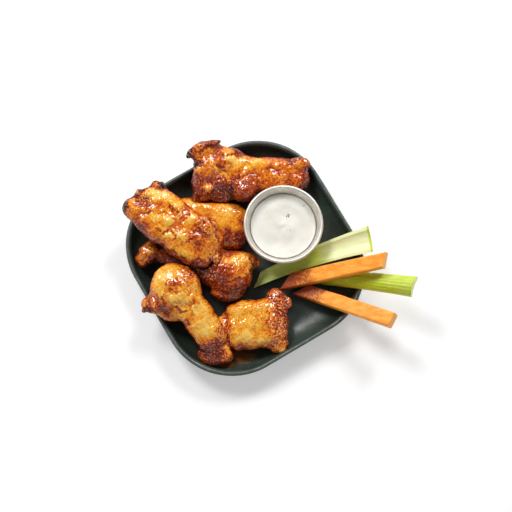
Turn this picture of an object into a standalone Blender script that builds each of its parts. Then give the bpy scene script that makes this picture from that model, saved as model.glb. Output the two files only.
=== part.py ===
"""A serving of six chicken wings on a dark square plate.

With the wings come a steel cup of creamy dip, two sticks of celery and two of carrot. The origin is
the middle of the plate's underside, and the plate's sides run along X and Y.
"""

import math
from dataclasses import dataclass, field

import bmesh
import bpy
from mathutils import Matrix, Vector
from mathutils.bvhtree import BVHTree

MM = 0.001
GAP = 0.35 * MM  # air kept between pieces that touch

# Plate
PLATE_SIDE = 170 * MM
PLATE_HEIGHT = 21 * MM
PLATE_CORNER = 56 * MM  # corner radius, seen from above
FOOT_SIDE = 106 * MM
FLOOR_TOP = 5 * MM
WALL = 4 * MM
WALL_BEND = 21 * MM  # how far the inside of the wall curves in on its way down to the floor
LIP_UNDER = 0.88  # share of the height at which the underside meets the lip
CORNER_STEPS = 9  # points round each corner of a ring

# Steel cup and the dip in it
CUP_SPOT = (30.3 * MM, 22.6 * MM)
CUP_HEIGHT = 33 * MM
CUP_RIM_RADIUS = 31.6 * MM
CUP_BASE_RADIUS = 18.5 * MM
CUP_WALL = 1.0 * MM
RIM_ROLL = 1.3 * MM
DIP_BELOW_RIM = 8.5 * MM
CUP_STEPS = 40

# Celery and carrot
STICK_STATIONS = 7  # sections along each stick
CARROT_CHAMFER = 0.9  # in the millimetres of a stick's own sizes

# Wings
VOXEL = 1.9 * MM  # grid that melts the swellings of a wing into one skin
WING_TRIANGLES = 900
DENT_GAP = 0.9 * MM  # what a soft wing's corners keep from what presses into it
FACE_PASSES = 3  # rounds in which the faces between those corners are pressed clear too
BLOCK_MARGIN = 15 * MM  # how far the solid stand-in for the plate's wall reaches past the plate

# All the food lies at a slant on the plate
SLANT = math.radians(-30.5)

CHARCOAL = (0.035, 0.042, 0.038)
STEEL = (0.62, 0.61, 0.59)
CREAM = (0.86, 0.83, 0.77)
GLAZED_SKIN = (0.55, 0.22, 0.045)
CELERY_GREEN = (0.50, 0.60, 0.12)
CARROT_ORANGE = (0.85, 0.33, 0.06)


def clear_scene():
    for obj in list(bpy.data.objects):
        bpy.data.objects.remove(obj, do_unlink=True)


def material(name, colour, roughness, metallic=0.0):
    made = bpy.data.materials.new(name)
    made.use_nodes = True
    shader = made.node_tree.nodes["Principled BSDF"]
    shader.inputs["Base Color"].default_value = (*colour, 1.0)
    shader.inputs["Roughness"].default_value = roughness
    shader.inputs["Metallic"].default_value = metallic
    made.diffuse_color = (*colour, 1.0)
    return made


def add_object(name, mesh, finish):
    obj = bpy.data.objects.new(name, mesh)
    bpy.context.scene.collection.objects.link(obj)
    mesh.materials.clear()
    mesh.materials.append(finish)
    mesh.shade_smooth()
    mesh.set_sharp_from_angle(angle=math.radians(40))
    return obj


def loft(name, rings):
    """A closed mesh through rings of points, each ring anticlockwise seen from the last one."""
    mesh = bpy.data.meshes.new(name)
    bm = bmesh.new()
    loops = [[bm.verts.new(point) for point in ring] for ring in rings]
    for low, high in zip(loops, loops[1:]):
        for i, start in enumerate(low):
            following = (i + 1) % len(low)
            bm.faces.new((start, low[following], high[following], high[i]))
    bm.faces.new(loops[0][::-1])
    bm.faces.new(loops[-1])
    bm.to_mesh(mesh)
    bm.free()
    return mesh


def on_plate(x, y, z=0.0):
    """A point of the slanted layout of the food, in the plate's frame."""
    return Matrix.Rotation(SLANT, 4, "Z") @ Vector((x, y, z))


# ---------------------------------------------------------------- plate


def rounded_square(half, corner, z):
    """Points of a rounded square, anticlockwise seen from above."""
    points = []
    middle = half - corner
    for quarter in range(4):
        turn = Matrix.Rotation(math.radians(90 * quarter), 3, "Z")
        for step in range(CORNER_STEPS + 1):
            angle = math.radians(90 * step / CORNER_STEPS)
            point = Vector((middle + corner * math.cos(angle), middle + corner * math.sin(angle), z))
            points.append(turn @ point)
        points.append(turn @ Vector((0, half, z)))
    return points


def plate_underside():
    """(half width, height) pairs from the foot out and up to the lip."""
    foot = FOOT_SIDE / 2
    flare = PLATE_SIDE / 2 - foot
    turns = [math.radians(90 * share) for share in (0, 0.25, 0.45, 0.62, 0.77, 0.9, 1)]
    rise = LIP_UNDER * PLATE_HEIGHT
    return [(foot + flare * math.sin(turn), rise * (1 - math.cos(turn))) for turn in turns]


def plate_inside():
    """(half width, height) pairs over the lip and down the wall to the edge of the flat floor."""
    half = PLATE_SIDE / 2
    top = PLATE_HEIGHT
    profile = [(half - 0.1 * WALL, 0.95 * top), (half - 0.38 * WALL, top)]
    profile.append((half - 0.7 * WALL, top - 0.6 * MM))
    depth = 0.88 * (top - FLOOR_TOP)
    for share in (0, 0.12, 0.26, 0.42, 0.6, 0.8, 1):
        turn = math.radians(90 * share)
        reach = half - WALL - WALL_BEND * (1 - math.cos(turn))
        profile.append((reach, FLOOR_TOP + depth * (1 - math.sin(turn))))
    return profile


def plate_rings(profile):
    """A ring for each (half width, height), every one rounded in the same proportion."""
    corner_share = 2 * PLATE_CORNER / PLATE_SIDE
    return [rounded_square(half, corner_share * half, height) for half, height in profile]


def make_plate():
    mesh = loft("plate", plate_rings(plate_underside() + plate_inside()))
    return add_object("plate", mesh, material("charcoal glaze", CHARCOAL, 0.38))


# ---------------------------------------------------------------- cup and dip


def turned(name, profile, place):
    """A solid turned about an upright axis; the profile runs up its inside and down its outside."""
    mesh = bpy.data.meshes.new(name)
    edges = [(i, i + 1) for i in range(len(profile) - 1)]
    mesh.from_pydata([(radius, 0.0, height) for radius, height in profile], edges, [])
    obj = bpy.data.objects.new(name, mesh)
    bpy.context.scene.collection.objects.link(obj)
    obj.location = place
    screw = obj.modifiers.new("turn", "SCREW")
    screw.steps = CUP_STEPS
    screw.render_steps = CUP_STEPS
    screw.use_merge_vertices = True
    screw.merge_threshold = 0.00001
    screw.use_smooth_shade = True
    return obj


def cup_radius(height):
    """Outer radius of the cup's flared wall at a height above its base."""
    share = height / CUP_HEIGHT
    return CUP_BASE_RADIUS + (CUP_RIM_RADIUS - RIM_ROLL - CUP_BASE_RADIUS) * share


def make_cup():
    top = CUP_HEIGHT - RIM_ROLL
    heights = [top * share for share in (0.06, 0.3, 0.65, 0.96)]
    base = CUP_WALL
    inside = [(0.0, base), (cup_radius(heights[0]) - 3.2 * CUP_WALL, base)]
    inside += [(cup_radius(height) - CUP_WALL, max(height, 2.2 * base)) for height in heights]
    roll_middle = cup_radius(top) - CUP_WALL + RIM_ROLL
    roll = [
        (roll_middle - RIM_ROLL * math.cos(turn), top + RIM_ROLL * math.sin(turn))
        for turn in (math.radians(45 * step) for step in range(6))
    ]
    outside = [(cup_radius(height), height) for height in reversed(heights)]
    outside += [(CUP_BASE_RADIUS - 1.5 * MM, 0.0), (0.0, 0.0)]
    place = on_plate(*CUP_SPOT, FLOOR_TOP + GAP)
    cup = turned("sauce_cup", inside + roll + outside, place)
    cup.data.materials.append(material("satin steel", STEEL, 0.3, 1.0))
    return cup


def dip_height(x, y, brim, radius):
    """The dip's surface: a low spiral swirl, a spoon's dent and a rise where it meets the wall."""
    distance = math.hypot(x, y) / radius
    swirl = 0.45 * MM * math.sin(3.2 * math.pi * distance + math.atan2(y, x)) * (1 - distance**4)
    dent = -1.3 * MM * math.exp(-((x + 6 * MM) ** 2 + (y + 10 * MM) ** 2) / (7 * MM) ** 2)
    meniscus = 0.8 * MM * distance**10
    return brim + swirl + dent + meniscus


def make_dip():
    """The dip from the cup's floor up to its level, with a soft swirled top."""
    place = on_plate(*CUP_SPOT, FLOOR_TOP + GAP)
    brim = CUP_HEIGHT - DIP_BELOW_RIM
    clear = CUP_WALL + 1.6 * GAP
    top_radius = cup_radius(brim) - clear

    def ring(radius, height_of):
        points = []
        for step in range(CUP_STEPS):
            angle = 2 * math.pi * step / CUP_STEPS
            x = radius * math.cos(angle)
            y = radius * math.sin(angle)
            points.append(place + Vector((x, y, height_of(x, y))))
        return points

    rings = []
    for share, pull in ((0.11, 0.9), (0.3, 1.0), (0.65, 1.0)):
        height = brim * share
        rings.append(ring((cup_radius(height) - clear) * pull, lambda x, y, level=height: level))
    for share in (1.0, 0.9, 0.72, 0.54, 0.36, 0.18, 0.05):
        rings.append(ring(top_radius * share, lambda x, y: dip_height(x, y, brim, top_radius)))
    return add_object("dip", loft("dip", rings), material("cream dip", CREAM, 0.35))


# ---------------------------------------------------------------- wings


@dataclass(frozen=True)
class Swell:
    """One swelling of meat or skin: its middle and size in millimetres, in the wing's own axes.

    The wing's own axes run along it, across it to the left, and up.
    """

    middle: tuple
    size: tuple
    turn: float = 0.0


@dataclass(frozen=True)
class Wing:
    """A wing of the flat, two-boned kind. Sizes are in millimetres and angles in degrees.

    bend is how far its middle stands to the left of a straight line between its ends.
    """

    name: str
    spot: tuple
    height: float
    heading: float
    length: float
    width: float
    thickness: float
    nose_up: float = 0.0
    roll: float = 0.0
    bend: float = 0.0
    extra: tuple = field(default_factory=tuple)

    def swells(self):
        """The two bones' ridges, the meat between, two elbow knuckles and the wrist."""
        long, wide, deep = self.length, self.width, self.thickness
        shapes = []
        for end in (-1, 1):
            turn = -end * math.degrees(math.atan2(2 * self.bend, long))
            for side, share in ((-1, 0.6), (0, 0.8), (1, 0.54)):
                middle = (0.15 * end * long, 0.22 * side * wide, 0.02 * deep * side)
                size = (0.68 * long, share * wide, (0.9 - 0.06 * abs(side)) * deep)
                shapes.append(Swell(middle, size, turn))
        for side in (-1, 1):
            middle = (-0.4 * long, 0.22 * side * wide, 0)
            shapes.append(Swell(middle, (0.2 * long, 0.42 * wide, 0.6 * deep), 8 * side))
        shapes.append(Swell((0.4 * long, 0, -0.05 * deep), (0.2 * long, 0.62 * wide, 0.62 * deep)))
        return [self.bent(shape) for shape in shapes] + list(self.extra)

    def bent(self, shape):
        along, across, up = shape.middle
        shift = self.bend * (1 - (2 * along / self.length) ** 2)
        return Swell((along, across + shift, up), shape.size, shape.turn)


@dataclass(frozen=True)
class Drumette(Wing):
    """The shoulder piece: a bulb of meat on one bone, with the bone's knuckle at the other end."""

    def swells(self):
        long, wide, deep = self.length, self.width, self.thickness
        return [
            Swell((0.26 * long, 0.02 * wide, 0), (0.4 * long, 0.92 * wide, deep)),
            Swell((0.14 * long, 0.06 * wide, 0), (0.42 * long, 0.8 * wide, 0.84 * deep)),
            Swell((-0.14 * long, 0, -0.1 * deep), (0.62 * long, 0.4 * wide, 0.46 * deep)),
            Swell((-0.42 * long, 0, -0.08 * deep), (0.17 * long, 0.5 * wide, 0.56 * deep)),
            *self.extra,
        ]


WINGS = (
    Wing(
        name="wing_back", spot=(9.8, 64.5), height=23.5, heading=-3, nose_up=-5,
        length=78, width=34, thickness=28,
        extra=(
            Swell((-44, 17, 7), (29, 15, 12), 20),
            Swell((-40, 5, 3), (25, 26, 20)),
            Swell((-44, -9, -2), (18, 31, 18), 4),
            Swell((-27, 8, 7), (17, 17, 15)),
            Swell((-23, 16, 3), (22, 12, 14), -8),
            Swell((-28, -15, -3), (22, 18, 16)),
            Swell((-10, -11, 2), (26, 24, 22), 12),
            Swell((34, 11, 7), (16, 12, 13)),
            Swell((30, 0, 0), (26, 29, 22)),
        ),
    ),
    Wing(
        name="wing_left", spot=(-53.5, 20.5), height=36.5, heading=-35, nose_up=-4,
        length=80, width=41, thickness=27,
        extra=(
            Swell((-37, -8, 0), (16, 17, 13)),
            Swell((-29, 18, 0), (12, 11, 10)),
            Swell((-29, 5, 0), (28, 25, 19)),
            Swell((20, 12, 7), (17, 20, 9), 10),
            Swell((28, -1, -2), (23, 24, 16)),
        ),
    ),
    Wing(
        name="wing_under", spot=(-29.0, 27.0), height=17.5, heading=-8,
        length=68, width=41, thickness=24,
    ),
    Drumette(
        name="drumette", spot=(-37.0, -8.0), height=20.5, heading=-16,
        length=98, width=41, thickness=31,
        extra=(
            Swell((34, 13, 0), (22, 18, 22)),
            Swell((-45, -6, -3), (14, 12, 12), 30),
        ),
    ),
    Wing(
        name="wing_front", spot=(-42.3, -48.5), height=24.5, heading=-52, nose_up=-9,
        length=76, width=27, thickness=24, bend=4,
        extra=(
            Swell((-24, 3, 1), (43, 41, 23)),
            Swell((-27, -20, -2), (17, 15, 10), 30),
            Swell((-14, -12, -2), (26, 17, 13), 24),
            Swell((34, -1, -2), (25, 23, 16)),
        ),
    ),
    Wing(
        name="wing_right", spot=(10.0, -53.6), height=16.8, heading=5,
        length=50, width=40, thickness=24,
        extra=(
            Swell((16, 15, 0), (17, 23, 16), -25),
            Swell((15, -17, -2), (18, 17, 15)),
            Swell((-17, -4, 0), (21, 34, 20)),
            Swell((25, 13, 1), (9, 9, 8)),
        ),
    ),
)

# What presses on each wing; a wing is settled before it presses on another
PRESSED_BY = {
    "wing_back": (),
    "wing_left": ("wing_back",),
    "wing_under": ("wing_left", "wing_back"),
    "drumette": ("wing_left", "wing_under"),
    "wing_front": ("drumette",),
    "wing_right": ("wing_front", "drumette"),
}


def wing_matrix(wing):
    place = Matrix.Translation(on_plate(wing.spot[0] * MM, wing.spot[1] * MM, wing.height * MM))
    heading = Matrix.Rotation(SLANT + math.radians(wing.heading), 4, "Z")
    pitch = Matrix.Rotation(math.radians(-wing.nose_up), 4, "Y")
    roll = Matrix.Rotation(math.radians(wing.roll), 4, "X")
    return place @ heading @ pitch @ roll


def melted(name, shapes):
    """Ellipsoids melted into one skin, smoothed, and thinned to an even net of triangles."""
    mesh = bpy.data.meshes.new(name)
    bm = bmesh.new()
    for swell in shapes:
        size = Matrix.Diagonal((*(Vector(swell.size) / 2 * MM), 1))
        turn = Matrix.Rotation(math.radians(swell.turn), 4, "Z")
        matrix = Matrix.Translation(Vector(swell.middle) * MM) @ turn @ size
        bmesh.ops.create_uvsphere(bm, u_segments=24, v_segments=14, radius=1, matrix=matrix)
    bm.to_mesh(mesh)
    bm.free()
    draft = bpy.data.objects.new(name + " draft", mesh)
    bpy.context.scene.collection.objects.link(draft)
    remesh = draft.modifiers.new("melt", "REMESH")
    remesh.mode = "VOXEL"
    remesh.voxel_size = VOXEL
    smooth = draft.modifiers.new("smooth", "SMOOTH")
    smooth.factor = 0.5
    smooth.iterations = 5
    dense = evaluated_copy(draft)
    thin = draft.modifiers.new("thin", "DECIMATE")
    thin.ratio = WING_TRIANGLES / (2 * len(dense.polygons))
    result = evaluated_copy(draft)
    bpy.data.objects.remove(draft)
    return result


def evaluated_copy(obj):
    bpy.context.view_layer.update()
    graph = bpy.context.evaluated_depsgraph_get()
    return bpy.data.meshes.new_from_object(obj.evaluated_get(graph))


def make_wing(wing, finish):
    mesh = melted(wing.name, wing.swells())
    mesh.transform(wing_matrix(wing))
    mesh.name = wing.name
    return add_object(wing.name, mesh, finish)


def inside(tree, point):
    """Whether a point is in the closed shape of a tree: a ray from it leaves through one more face."""
    crossings = 0
    start = point
    while True:
        hit, _, _, _ = tree.ray_cast(start, Vector((0.013, 0.021, 1)))
        if hit is None:
            return crossings % 2 == 1
        crossings += 1
        start = hit + Vector((0, 0, 0.00001))


def plate_block():
    """The plate's well sunk in a wide block, so that soft food is only ever pressed in and up."""
    wide = PLATE_SIDE / 2 + BLOCK_MARGIN
    sides = [(wide, 0), (wide, 0.94 * PLATE_HEIGHT)]
    mesh = loft("plate block", plate_rings(sides + plate_inside()))
    return shape_tree(mesh, Matrix.Identity(4))


def cup_block():
    """The cup filled solid, a little wider at its rim."""
    mesh = bpy.data.meshes.new("cup block")
    bm = bmesh.new()
    bmesh.ops.create_cone(
        bm, cap_ends=True, segments=CUP_STEPS, depth=CUP_HEIGHT,
        radius1=CUP_BASE_RADIUS, radius2=CUP_RIM_RADIUS,
    )
    bm.to_mesh(mesh)
    bm.free()
    place = on_plate(*CUP_SPOT, FLOOR_TOP + GAP + CUP_HEIGHT / 2)
    return shape_tree(mesh, Matrix.Translation(place))


def shape_tree(mesh, matrix):
    """A search tree of a mesh's faces, in the plate's frame."""
    bm = bmesh.new()
    bm.from_mesh(mesh)
    bm.transform(matrix)
    tree = BVHTree.FromBMesh(bm)
    bm.free()
    return tree


def way_out(tree, point, gap):
    """The shortest move that takes a point to at least the gap from a closed shape."""
    nearest, _, _, distance = tree.find_nearest(point)
    if inside(tree, point):
        return (nearest - point) + (nearest - point).normalized() * gap
    if distance < gap:
        return (point - nearest).normalized() * (gap - distance)
    return Vector()


def dent(soft, trees, gap=DENT_GAP):
    """Press a soft piece back from its neighbours until no corner of it is nearer than the gap."""
    for tree in trees:
        for vertex in soft.vertices:
            vertex.co += way_out(tree, vertex.co, gap)
        for _ in range(FACE_PASSES):
            for face in soft.polygons:
                points = [soft.vertices[i] for i in face.vertices]
                middle = sum((point.co for point in points), Vector()) / len(points)
                shift = way_out(tree, middle, 2 * GAP)
                for point in points:
                    point.co += shift
    soft.update()


def make_wings(sticks):
    """All six wings: the lower ones give way to those on top, and all of them to the hard pieces."""
    skin = material("glazed skin", GLAZED_SKIN, 0.3)
    wings = {wing.name: make_wing(wing, skin).data for wing in WINGS}
    hard = [cup_block(), plate_block()] + [shape_tree(stick.data, Matrix.Identity(4)) for stick in sticks]
    for name, uppers in PRESSED_BY.items():
        over = [shape_tree(wings[upper], Matrix.Identity(4)) for upper in uppers]
        dent(wings[name], over + hard)


# ---------------------------------------------------------------- vegetable sticks


def carrot_section(width, depth):
    """A rectangle with small cut corners, anticlockwise seen from the outer end."""
    half_w = width / 2
    half_d = depth / 2
    quarter = [(half_w, half_d - CARROT_CHAMFER), (half_w - CARROT_CHAMFER, half_d)]
    points = quarter + [(-y, z) for y, z in reversed(quarter)]
    return points + [(-y, -z) for y, z in points]


def celery_section(width, depth):
    """A crescent: the ribbed back below and the hollow above, anticlockwise from the outer end."""
    radius = width / 2
    points = []
    for step in range(9):
        angle = math.radians(180 + 180 * step / 8)
        points.append((radius * math.cos(angle), depth * (0.45 + math.sin(angle))))
    for step in range(5):
        angle = math.radians(-28 - 124 * step / 4)
        points.append((0.82 * radius * math.cos(angle), depth * (0.72 + 0.55 * math.sin(angle))))
    return points


@dataclass(frozen=True)
class Stick:
    """A stick from its inner end on the plate's floor to its outer end in the air.

    Sizes are in millimetres and belong to the outer end. taper is the inner end's share of them,
    bow is how far the middle stands to the left, roll turns the section, and a cut slants an end by
    that much along the stick for each millimetre across it.
    """

    name: str
    section: object
    inner: tuple
    outer: tuple
    width: float
    depth: float
    bow: float = 0.0
    taper: float = 1.0
    roll: float = 0.0
    inner_cut: float = 0.0
    outer_cut: float = 0.0

    def rings(self):
        """The section's ring at each station from the inner end to the outer one."""
        start = on_plate(*self.inner)
        end = on_plate(*self.outer)
        along = (end - start).normalized()
        across = Vector((0, 0, 1)).cross(along).normalized()
        up = along.cross(across)
        turn = Matrix.Rotation(math.radians(self.roll), 3, along)
        across = turn @ across
        up = turn @ up
        outline = self.section(self.width, self.depth)
        rings = []
        for station in range(STICK_STATIONS):
            share = station / (STICK_STATIONS - 1)
            middle = start.lerp(end, share) + across * (4 * self.bow * share * (1 - share))
            scale = self.taper + (1 - self.taper) * share**1.3
            slant = self.inner_cut * (1 - share) ** 3 + self.outer_cut * share**3
            ring = []
            for y, z in outline:
                point = middle + across * (y * scale) + up * (z * scale) + along * (slant * y * scale)
                ring.append(point * MM)
            rings.append(ring)
        return rings


STICKS = (
    Stick(
        name="celery_hollow_up", section=celery_section, inner=(10, -17.7, 8.3), outer=(100, 11.8, 28.8),
        width=21, depth=9, bow=2.3, taper=0.5, inner_cut=0.9, outer_cut=0.16,
    ),
    Stick(
        name="celery_back_up", section=celery_section, inner=(48, -13.7, 8.4), outer=(131.5, -27.5, 41.6),
        width=16.5, depth=8, bow=0.8, taper=0.72, roll=180, outer_cut=-0.19,
    ),
    Stick(
        name="carrot_top", section=carrot_section, inner=(34, -20, 16), outer=(109.5, -7.2, 42.5),
        width=11.5, depth=11, inner_cut=1.0, outer_cut=0.4,
    ),
    Stick(
        name="carrot_low", section=carrot_section, inner=(46.5, -26.8, 11.6), outer=(114.6, -54.4, 40.8),
        width=11.5, depth=10, taper=0.95, inner_cut=1.0, outer_cut=0.1,
    ),
)


def make_sticks():
    finishes = {
        celery_section: material("celery", CELERY_GREEN, 0.45),
        carrot_section: material("carrot", CARROT_ORANGE, 0.5),
    }
    sticks = []
    for stick in STICKS:
        mesh = loft(stick.name, stick.rings())
        sticks.append(add_object(stick.name, mesh, finishes[stick.section]))
    return sticks


def main():
    clear_scene()
    make_plate()
    make_cup()
    make_dip()
    sticks = make_sticks()
    make_wings(sticks)


main()
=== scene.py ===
"""A serving of glazed chicken wings with a cup of dip, celery and carrot: fine shapes and finishes.

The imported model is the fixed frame. Every piece here is built where that frame says, dressed with a
procedural material, and rides on the frame's only body.
"""

import sys

import logging
import math
import random
from abc import ABC, abstractmethod
from dataclasses import dataclass
from enum import Enum

import bmesh
import bpy
import numpy as np
from mathutils import Matrix, Vector
from mathutils.bvhtree import BVHTree


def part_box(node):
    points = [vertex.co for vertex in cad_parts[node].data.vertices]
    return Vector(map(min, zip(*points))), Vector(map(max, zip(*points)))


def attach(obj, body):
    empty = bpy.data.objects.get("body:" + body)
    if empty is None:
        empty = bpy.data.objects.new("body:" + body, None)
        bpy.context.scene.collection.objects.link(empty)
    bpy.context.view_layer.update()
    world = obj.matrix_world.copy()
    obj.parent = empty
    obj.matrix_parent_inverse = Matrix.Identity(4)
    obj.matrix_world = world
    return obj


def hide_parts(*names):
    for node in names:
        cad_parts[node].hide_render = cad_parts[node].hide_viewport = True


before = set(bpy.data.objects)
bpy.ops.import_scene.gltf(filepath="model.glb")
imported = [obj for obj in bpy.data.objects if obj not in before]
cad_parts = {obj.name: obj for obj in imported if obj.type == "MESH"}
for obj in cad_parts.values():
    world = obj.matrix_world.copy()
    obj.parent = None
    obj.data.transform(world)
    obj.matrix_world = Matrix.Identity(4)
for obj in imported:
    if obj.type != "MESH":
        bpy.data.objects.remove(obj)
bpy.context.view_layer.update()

LOG = logging.getLogger("wings")
MM = 0.001
BODY = "root"
SLANT = math.radians(-30.5)  # the food lies at this slant on the plate
WELD = 0.00001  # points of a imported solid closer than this, in metres, are one
SEED_SHIFT = (0.37, 0.11, 0.23)  # metres that one more seed moves a pattern
Colour = tuple[float, float, float]
Place = tuple[float, float]


# ---------------------------------------------------------------- bench: modelling by hand


def laid(x: float, y: float, z: float = 0.0) -> Vector:
    """Turn millimetres in the slanted layout (right, away, up) into a point of the frame."""
    return Matrix.Rotation(SLANT, 3, "Z") @ Vector((x, y, z)) * MM


def put_down() -> None:
    """Leave edit mode and deselect everything."""
    if bpy.context.object and bpy.context.object.mode != "OBJECT":
        bpy.ops.object.mode_set(mode="OBJECT")
    bpy.ops.object.select_all(action="DESELECT")


def pick_up(*objects: bpy.types.Object) -> bpy.types.Object:
    """Select some objects and make the first of them active.

    Args:
        objects: The objects to select.

    Returns:
        The active object.
    """
    put_down()
    for obj in objects:
        obj.select_set(True)
    bpy.context.view_layer.objects.active = objects[0]
    return objects[0]


def new_piece(name: str) -> bpy.types.Object:
    """Name the primitive just added and settle its place, turn and size into its mesh.

    Args:
        name: The piece's name.

    Returns:
        The piece.
    """
    piece = bpy.context.active_object
    piece.name = piece.data.name = name
    bpy.ops.object.transform_apply(location=True, rotation=True, scale=True)
    return piece


def press_on(piece: bpy.types.Object) -> None:
    """Apply all of a piece's modifiers, top to bottom.

    Args:
        piece: The piece that has them.
    """
    pick_up(piece)
    for modifier in list(piece.modifiers):
        bpy.ops.object.modifier_apply(modifier=modifier.name)


def round_off(piece: bpy.types.Object) -> None:
    """Smooth a piece's form with one level of subdivision.

    Args:
        piece: The piece to smooth.
    """
    subdivision = piece.modifiers.new("smooth", "SUBSURF")
    subdivision.levels = subdivision.render_levels = 1
    press_on(piece)


def open_up(piece: bpy.types.Object, everything: bool = True) -> None:
    """Put a piece into edit mode.

    Args:
        piece: The piece to edit.
        everything: Whether all of its mesh starts selected, or none of it.
    """
    pick_up(piece)
    bpy.ops.object.mode_set(mode="EDIT")
    bpy.ops.mesh.select_all(action="SELECT" if everything else "DESELECT")


def close_up() -> None:
    """Leave edit mode."""
    bpy.ops.object.mode_set(mode="OBJECT")


def copy_of_node(node: str, name: str) -> bpy.types.Object:
    """Copy a solid of the frame as one welded mesh.

    Args:
        node: The solid's name in the frame.
        name: The copy's name.

    Returns:
        The copy.
    """
    put_down()
    piece = bpy.data.objects.new(name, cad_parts[node].data.copy())
    piece.data.name = name
    bpy.context.scene.collection.objects.link(piece)
    piece.data.materials.clear()
    open_up(piece)
    bpy.ops.mesh.remove_doubles(threshold=WELD)
    close_up()
    return piece


def grow(piece: bpy.types.Object, middle: Vector, profile: list[Place]) -> None:
    """Extrude a piece's only face from ring to ring, each a scaled copy of the last.

    Args:
        piece: A flat face whose outline has the profile's first reach.
        middle: The point of the upright axis at height zero.
        profile: (reach, height) of each ring, in metres.
    """
    open_up(piece)
    for (reach, height), (wider, higher) in zip(profile, profile[1:]):
        rise = {"value": (0, 0, higher - height)}
        bpy.ops.mesh.extrude_region_move(TRANSFORM_OT_translate=rise)
        share = wider / reach
        centre = (middle.x, middle.y, middle.z + higher)
        bpy.ops.transform.resize(value=(share, share, 1), center_override=centre)
    bpy.ops.mesh.select_all(action="SELECT")
    bpy.ops.mesh.normals_make_consistent(inside=False)
    close_up()


def shade(piece: bpy.types.Object, angle: float = 60.0) -> None:
    """Shade a piece smooth, keeping edges sharper than an angle in degrees."""
    pick_up(piece)
    bpy.ops.object.shade_smooth_by_angle(angle=math.radians(angle))


def points_of(mesh: bpy.types.Mesh, what: str = "co") -> np.ndarray:
    """Read what each point of a mesh holds.

    Args:
        mesh: The mesh.
        what: co for its place, or normal for its smooth normal.

    Returns:
        A row of three numbers for each point.
    """
    flat = np.empty(3 * len(mesh.vertices), np.float32)
    mesh.vertices.foreach_get(what, flat)
    return flat.reshape(-1, 3).astype(float)


def set_points(mesh: bpy.types.Mesh, points: np.ndarray) -> None:
    """Write an array of rows back as a mesh's points."""
    mesh.vertices.foreach_set("co", points.astype(np.float32).ravel())
    mesh.update()


def paint(mesh: bpy.types.Mesh, name: str, values: np.ndarray) -> None:
    """Store one number at each point of a mesh, for its material to read."""
    layer = mesh.attributes.new(name, "FLOAT", "POINT")
    layer.data.foreach_set("value", values.astype(np.float32))


class Pattern(Enum):
    """The kinds of unevenness, each a texture type and its noise."""

    SOFT = ("CLOUDS", "SOFT_NOISE")
    CREASED = ("CLOUDS", "HARD_NOISE")
    BLISTERS = ("VORONOI", None)


@dataclass(frozen=True)
class Relief:
    """One layer of unevenness pressed into a surface. Sizes are in millimetres.

    stretch draws the pattern out along a heading, in degrees within the slanted layout, and group
    names the vertex group that says where the layer is strong.
    """

    size: float
    depth: float
    pattern: Pattern = Pattern.SOFT
    detail: int = 2
    stretch: float = 1.0
    heading: float = 0.0
    level: float = 0.5
    group: str = ""

    def press(self, piece: bpy.types.Object, seed: float = 0.0) -> None:
        """Press the layer into a piece.

        Args:
            piece: The piece to change.
            seed: Where in the endless pattern to take the layer from.
        """
        kind, noise = self.pattern.value
        texture = bpy.data.textures.new("relief", kind)
        texture.noise_scale = self.size * MM
        if noise:
            texture.noise_type = noise
            texture.noise_depth = self.detail
        guide = bpy.data.objects.new("relief guide", None)
        bpy.context.scene.collection.objects.link(guide)
        guide.location = tuple(shift * seed for shift in SEED_SHIFT)
        guide.rotation_euler.z = SLANT + math.radians(self.heading)
        guide.scale.x = self.stretch
        pick_up(piece)
        displace = piece.modifiers.new("relief", "DISPLACE")
        displace.texture = texture
        displace.texture_coords = "OBJECT"
        displace.texture_coords_object = guide
        displace.strength = self.depth * MM
        displace.mid_level = self.level
        displace.vertex_group = self.group
        bpy.context.view_layer.update()
        bpy.ops.object.modifier_apply(modifier=displace.name)
        bpy.data.objects.remove(guide)
        bpy.data.textures.remove(texture)


# ---------------------------------------------------------------- finishes


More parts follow.
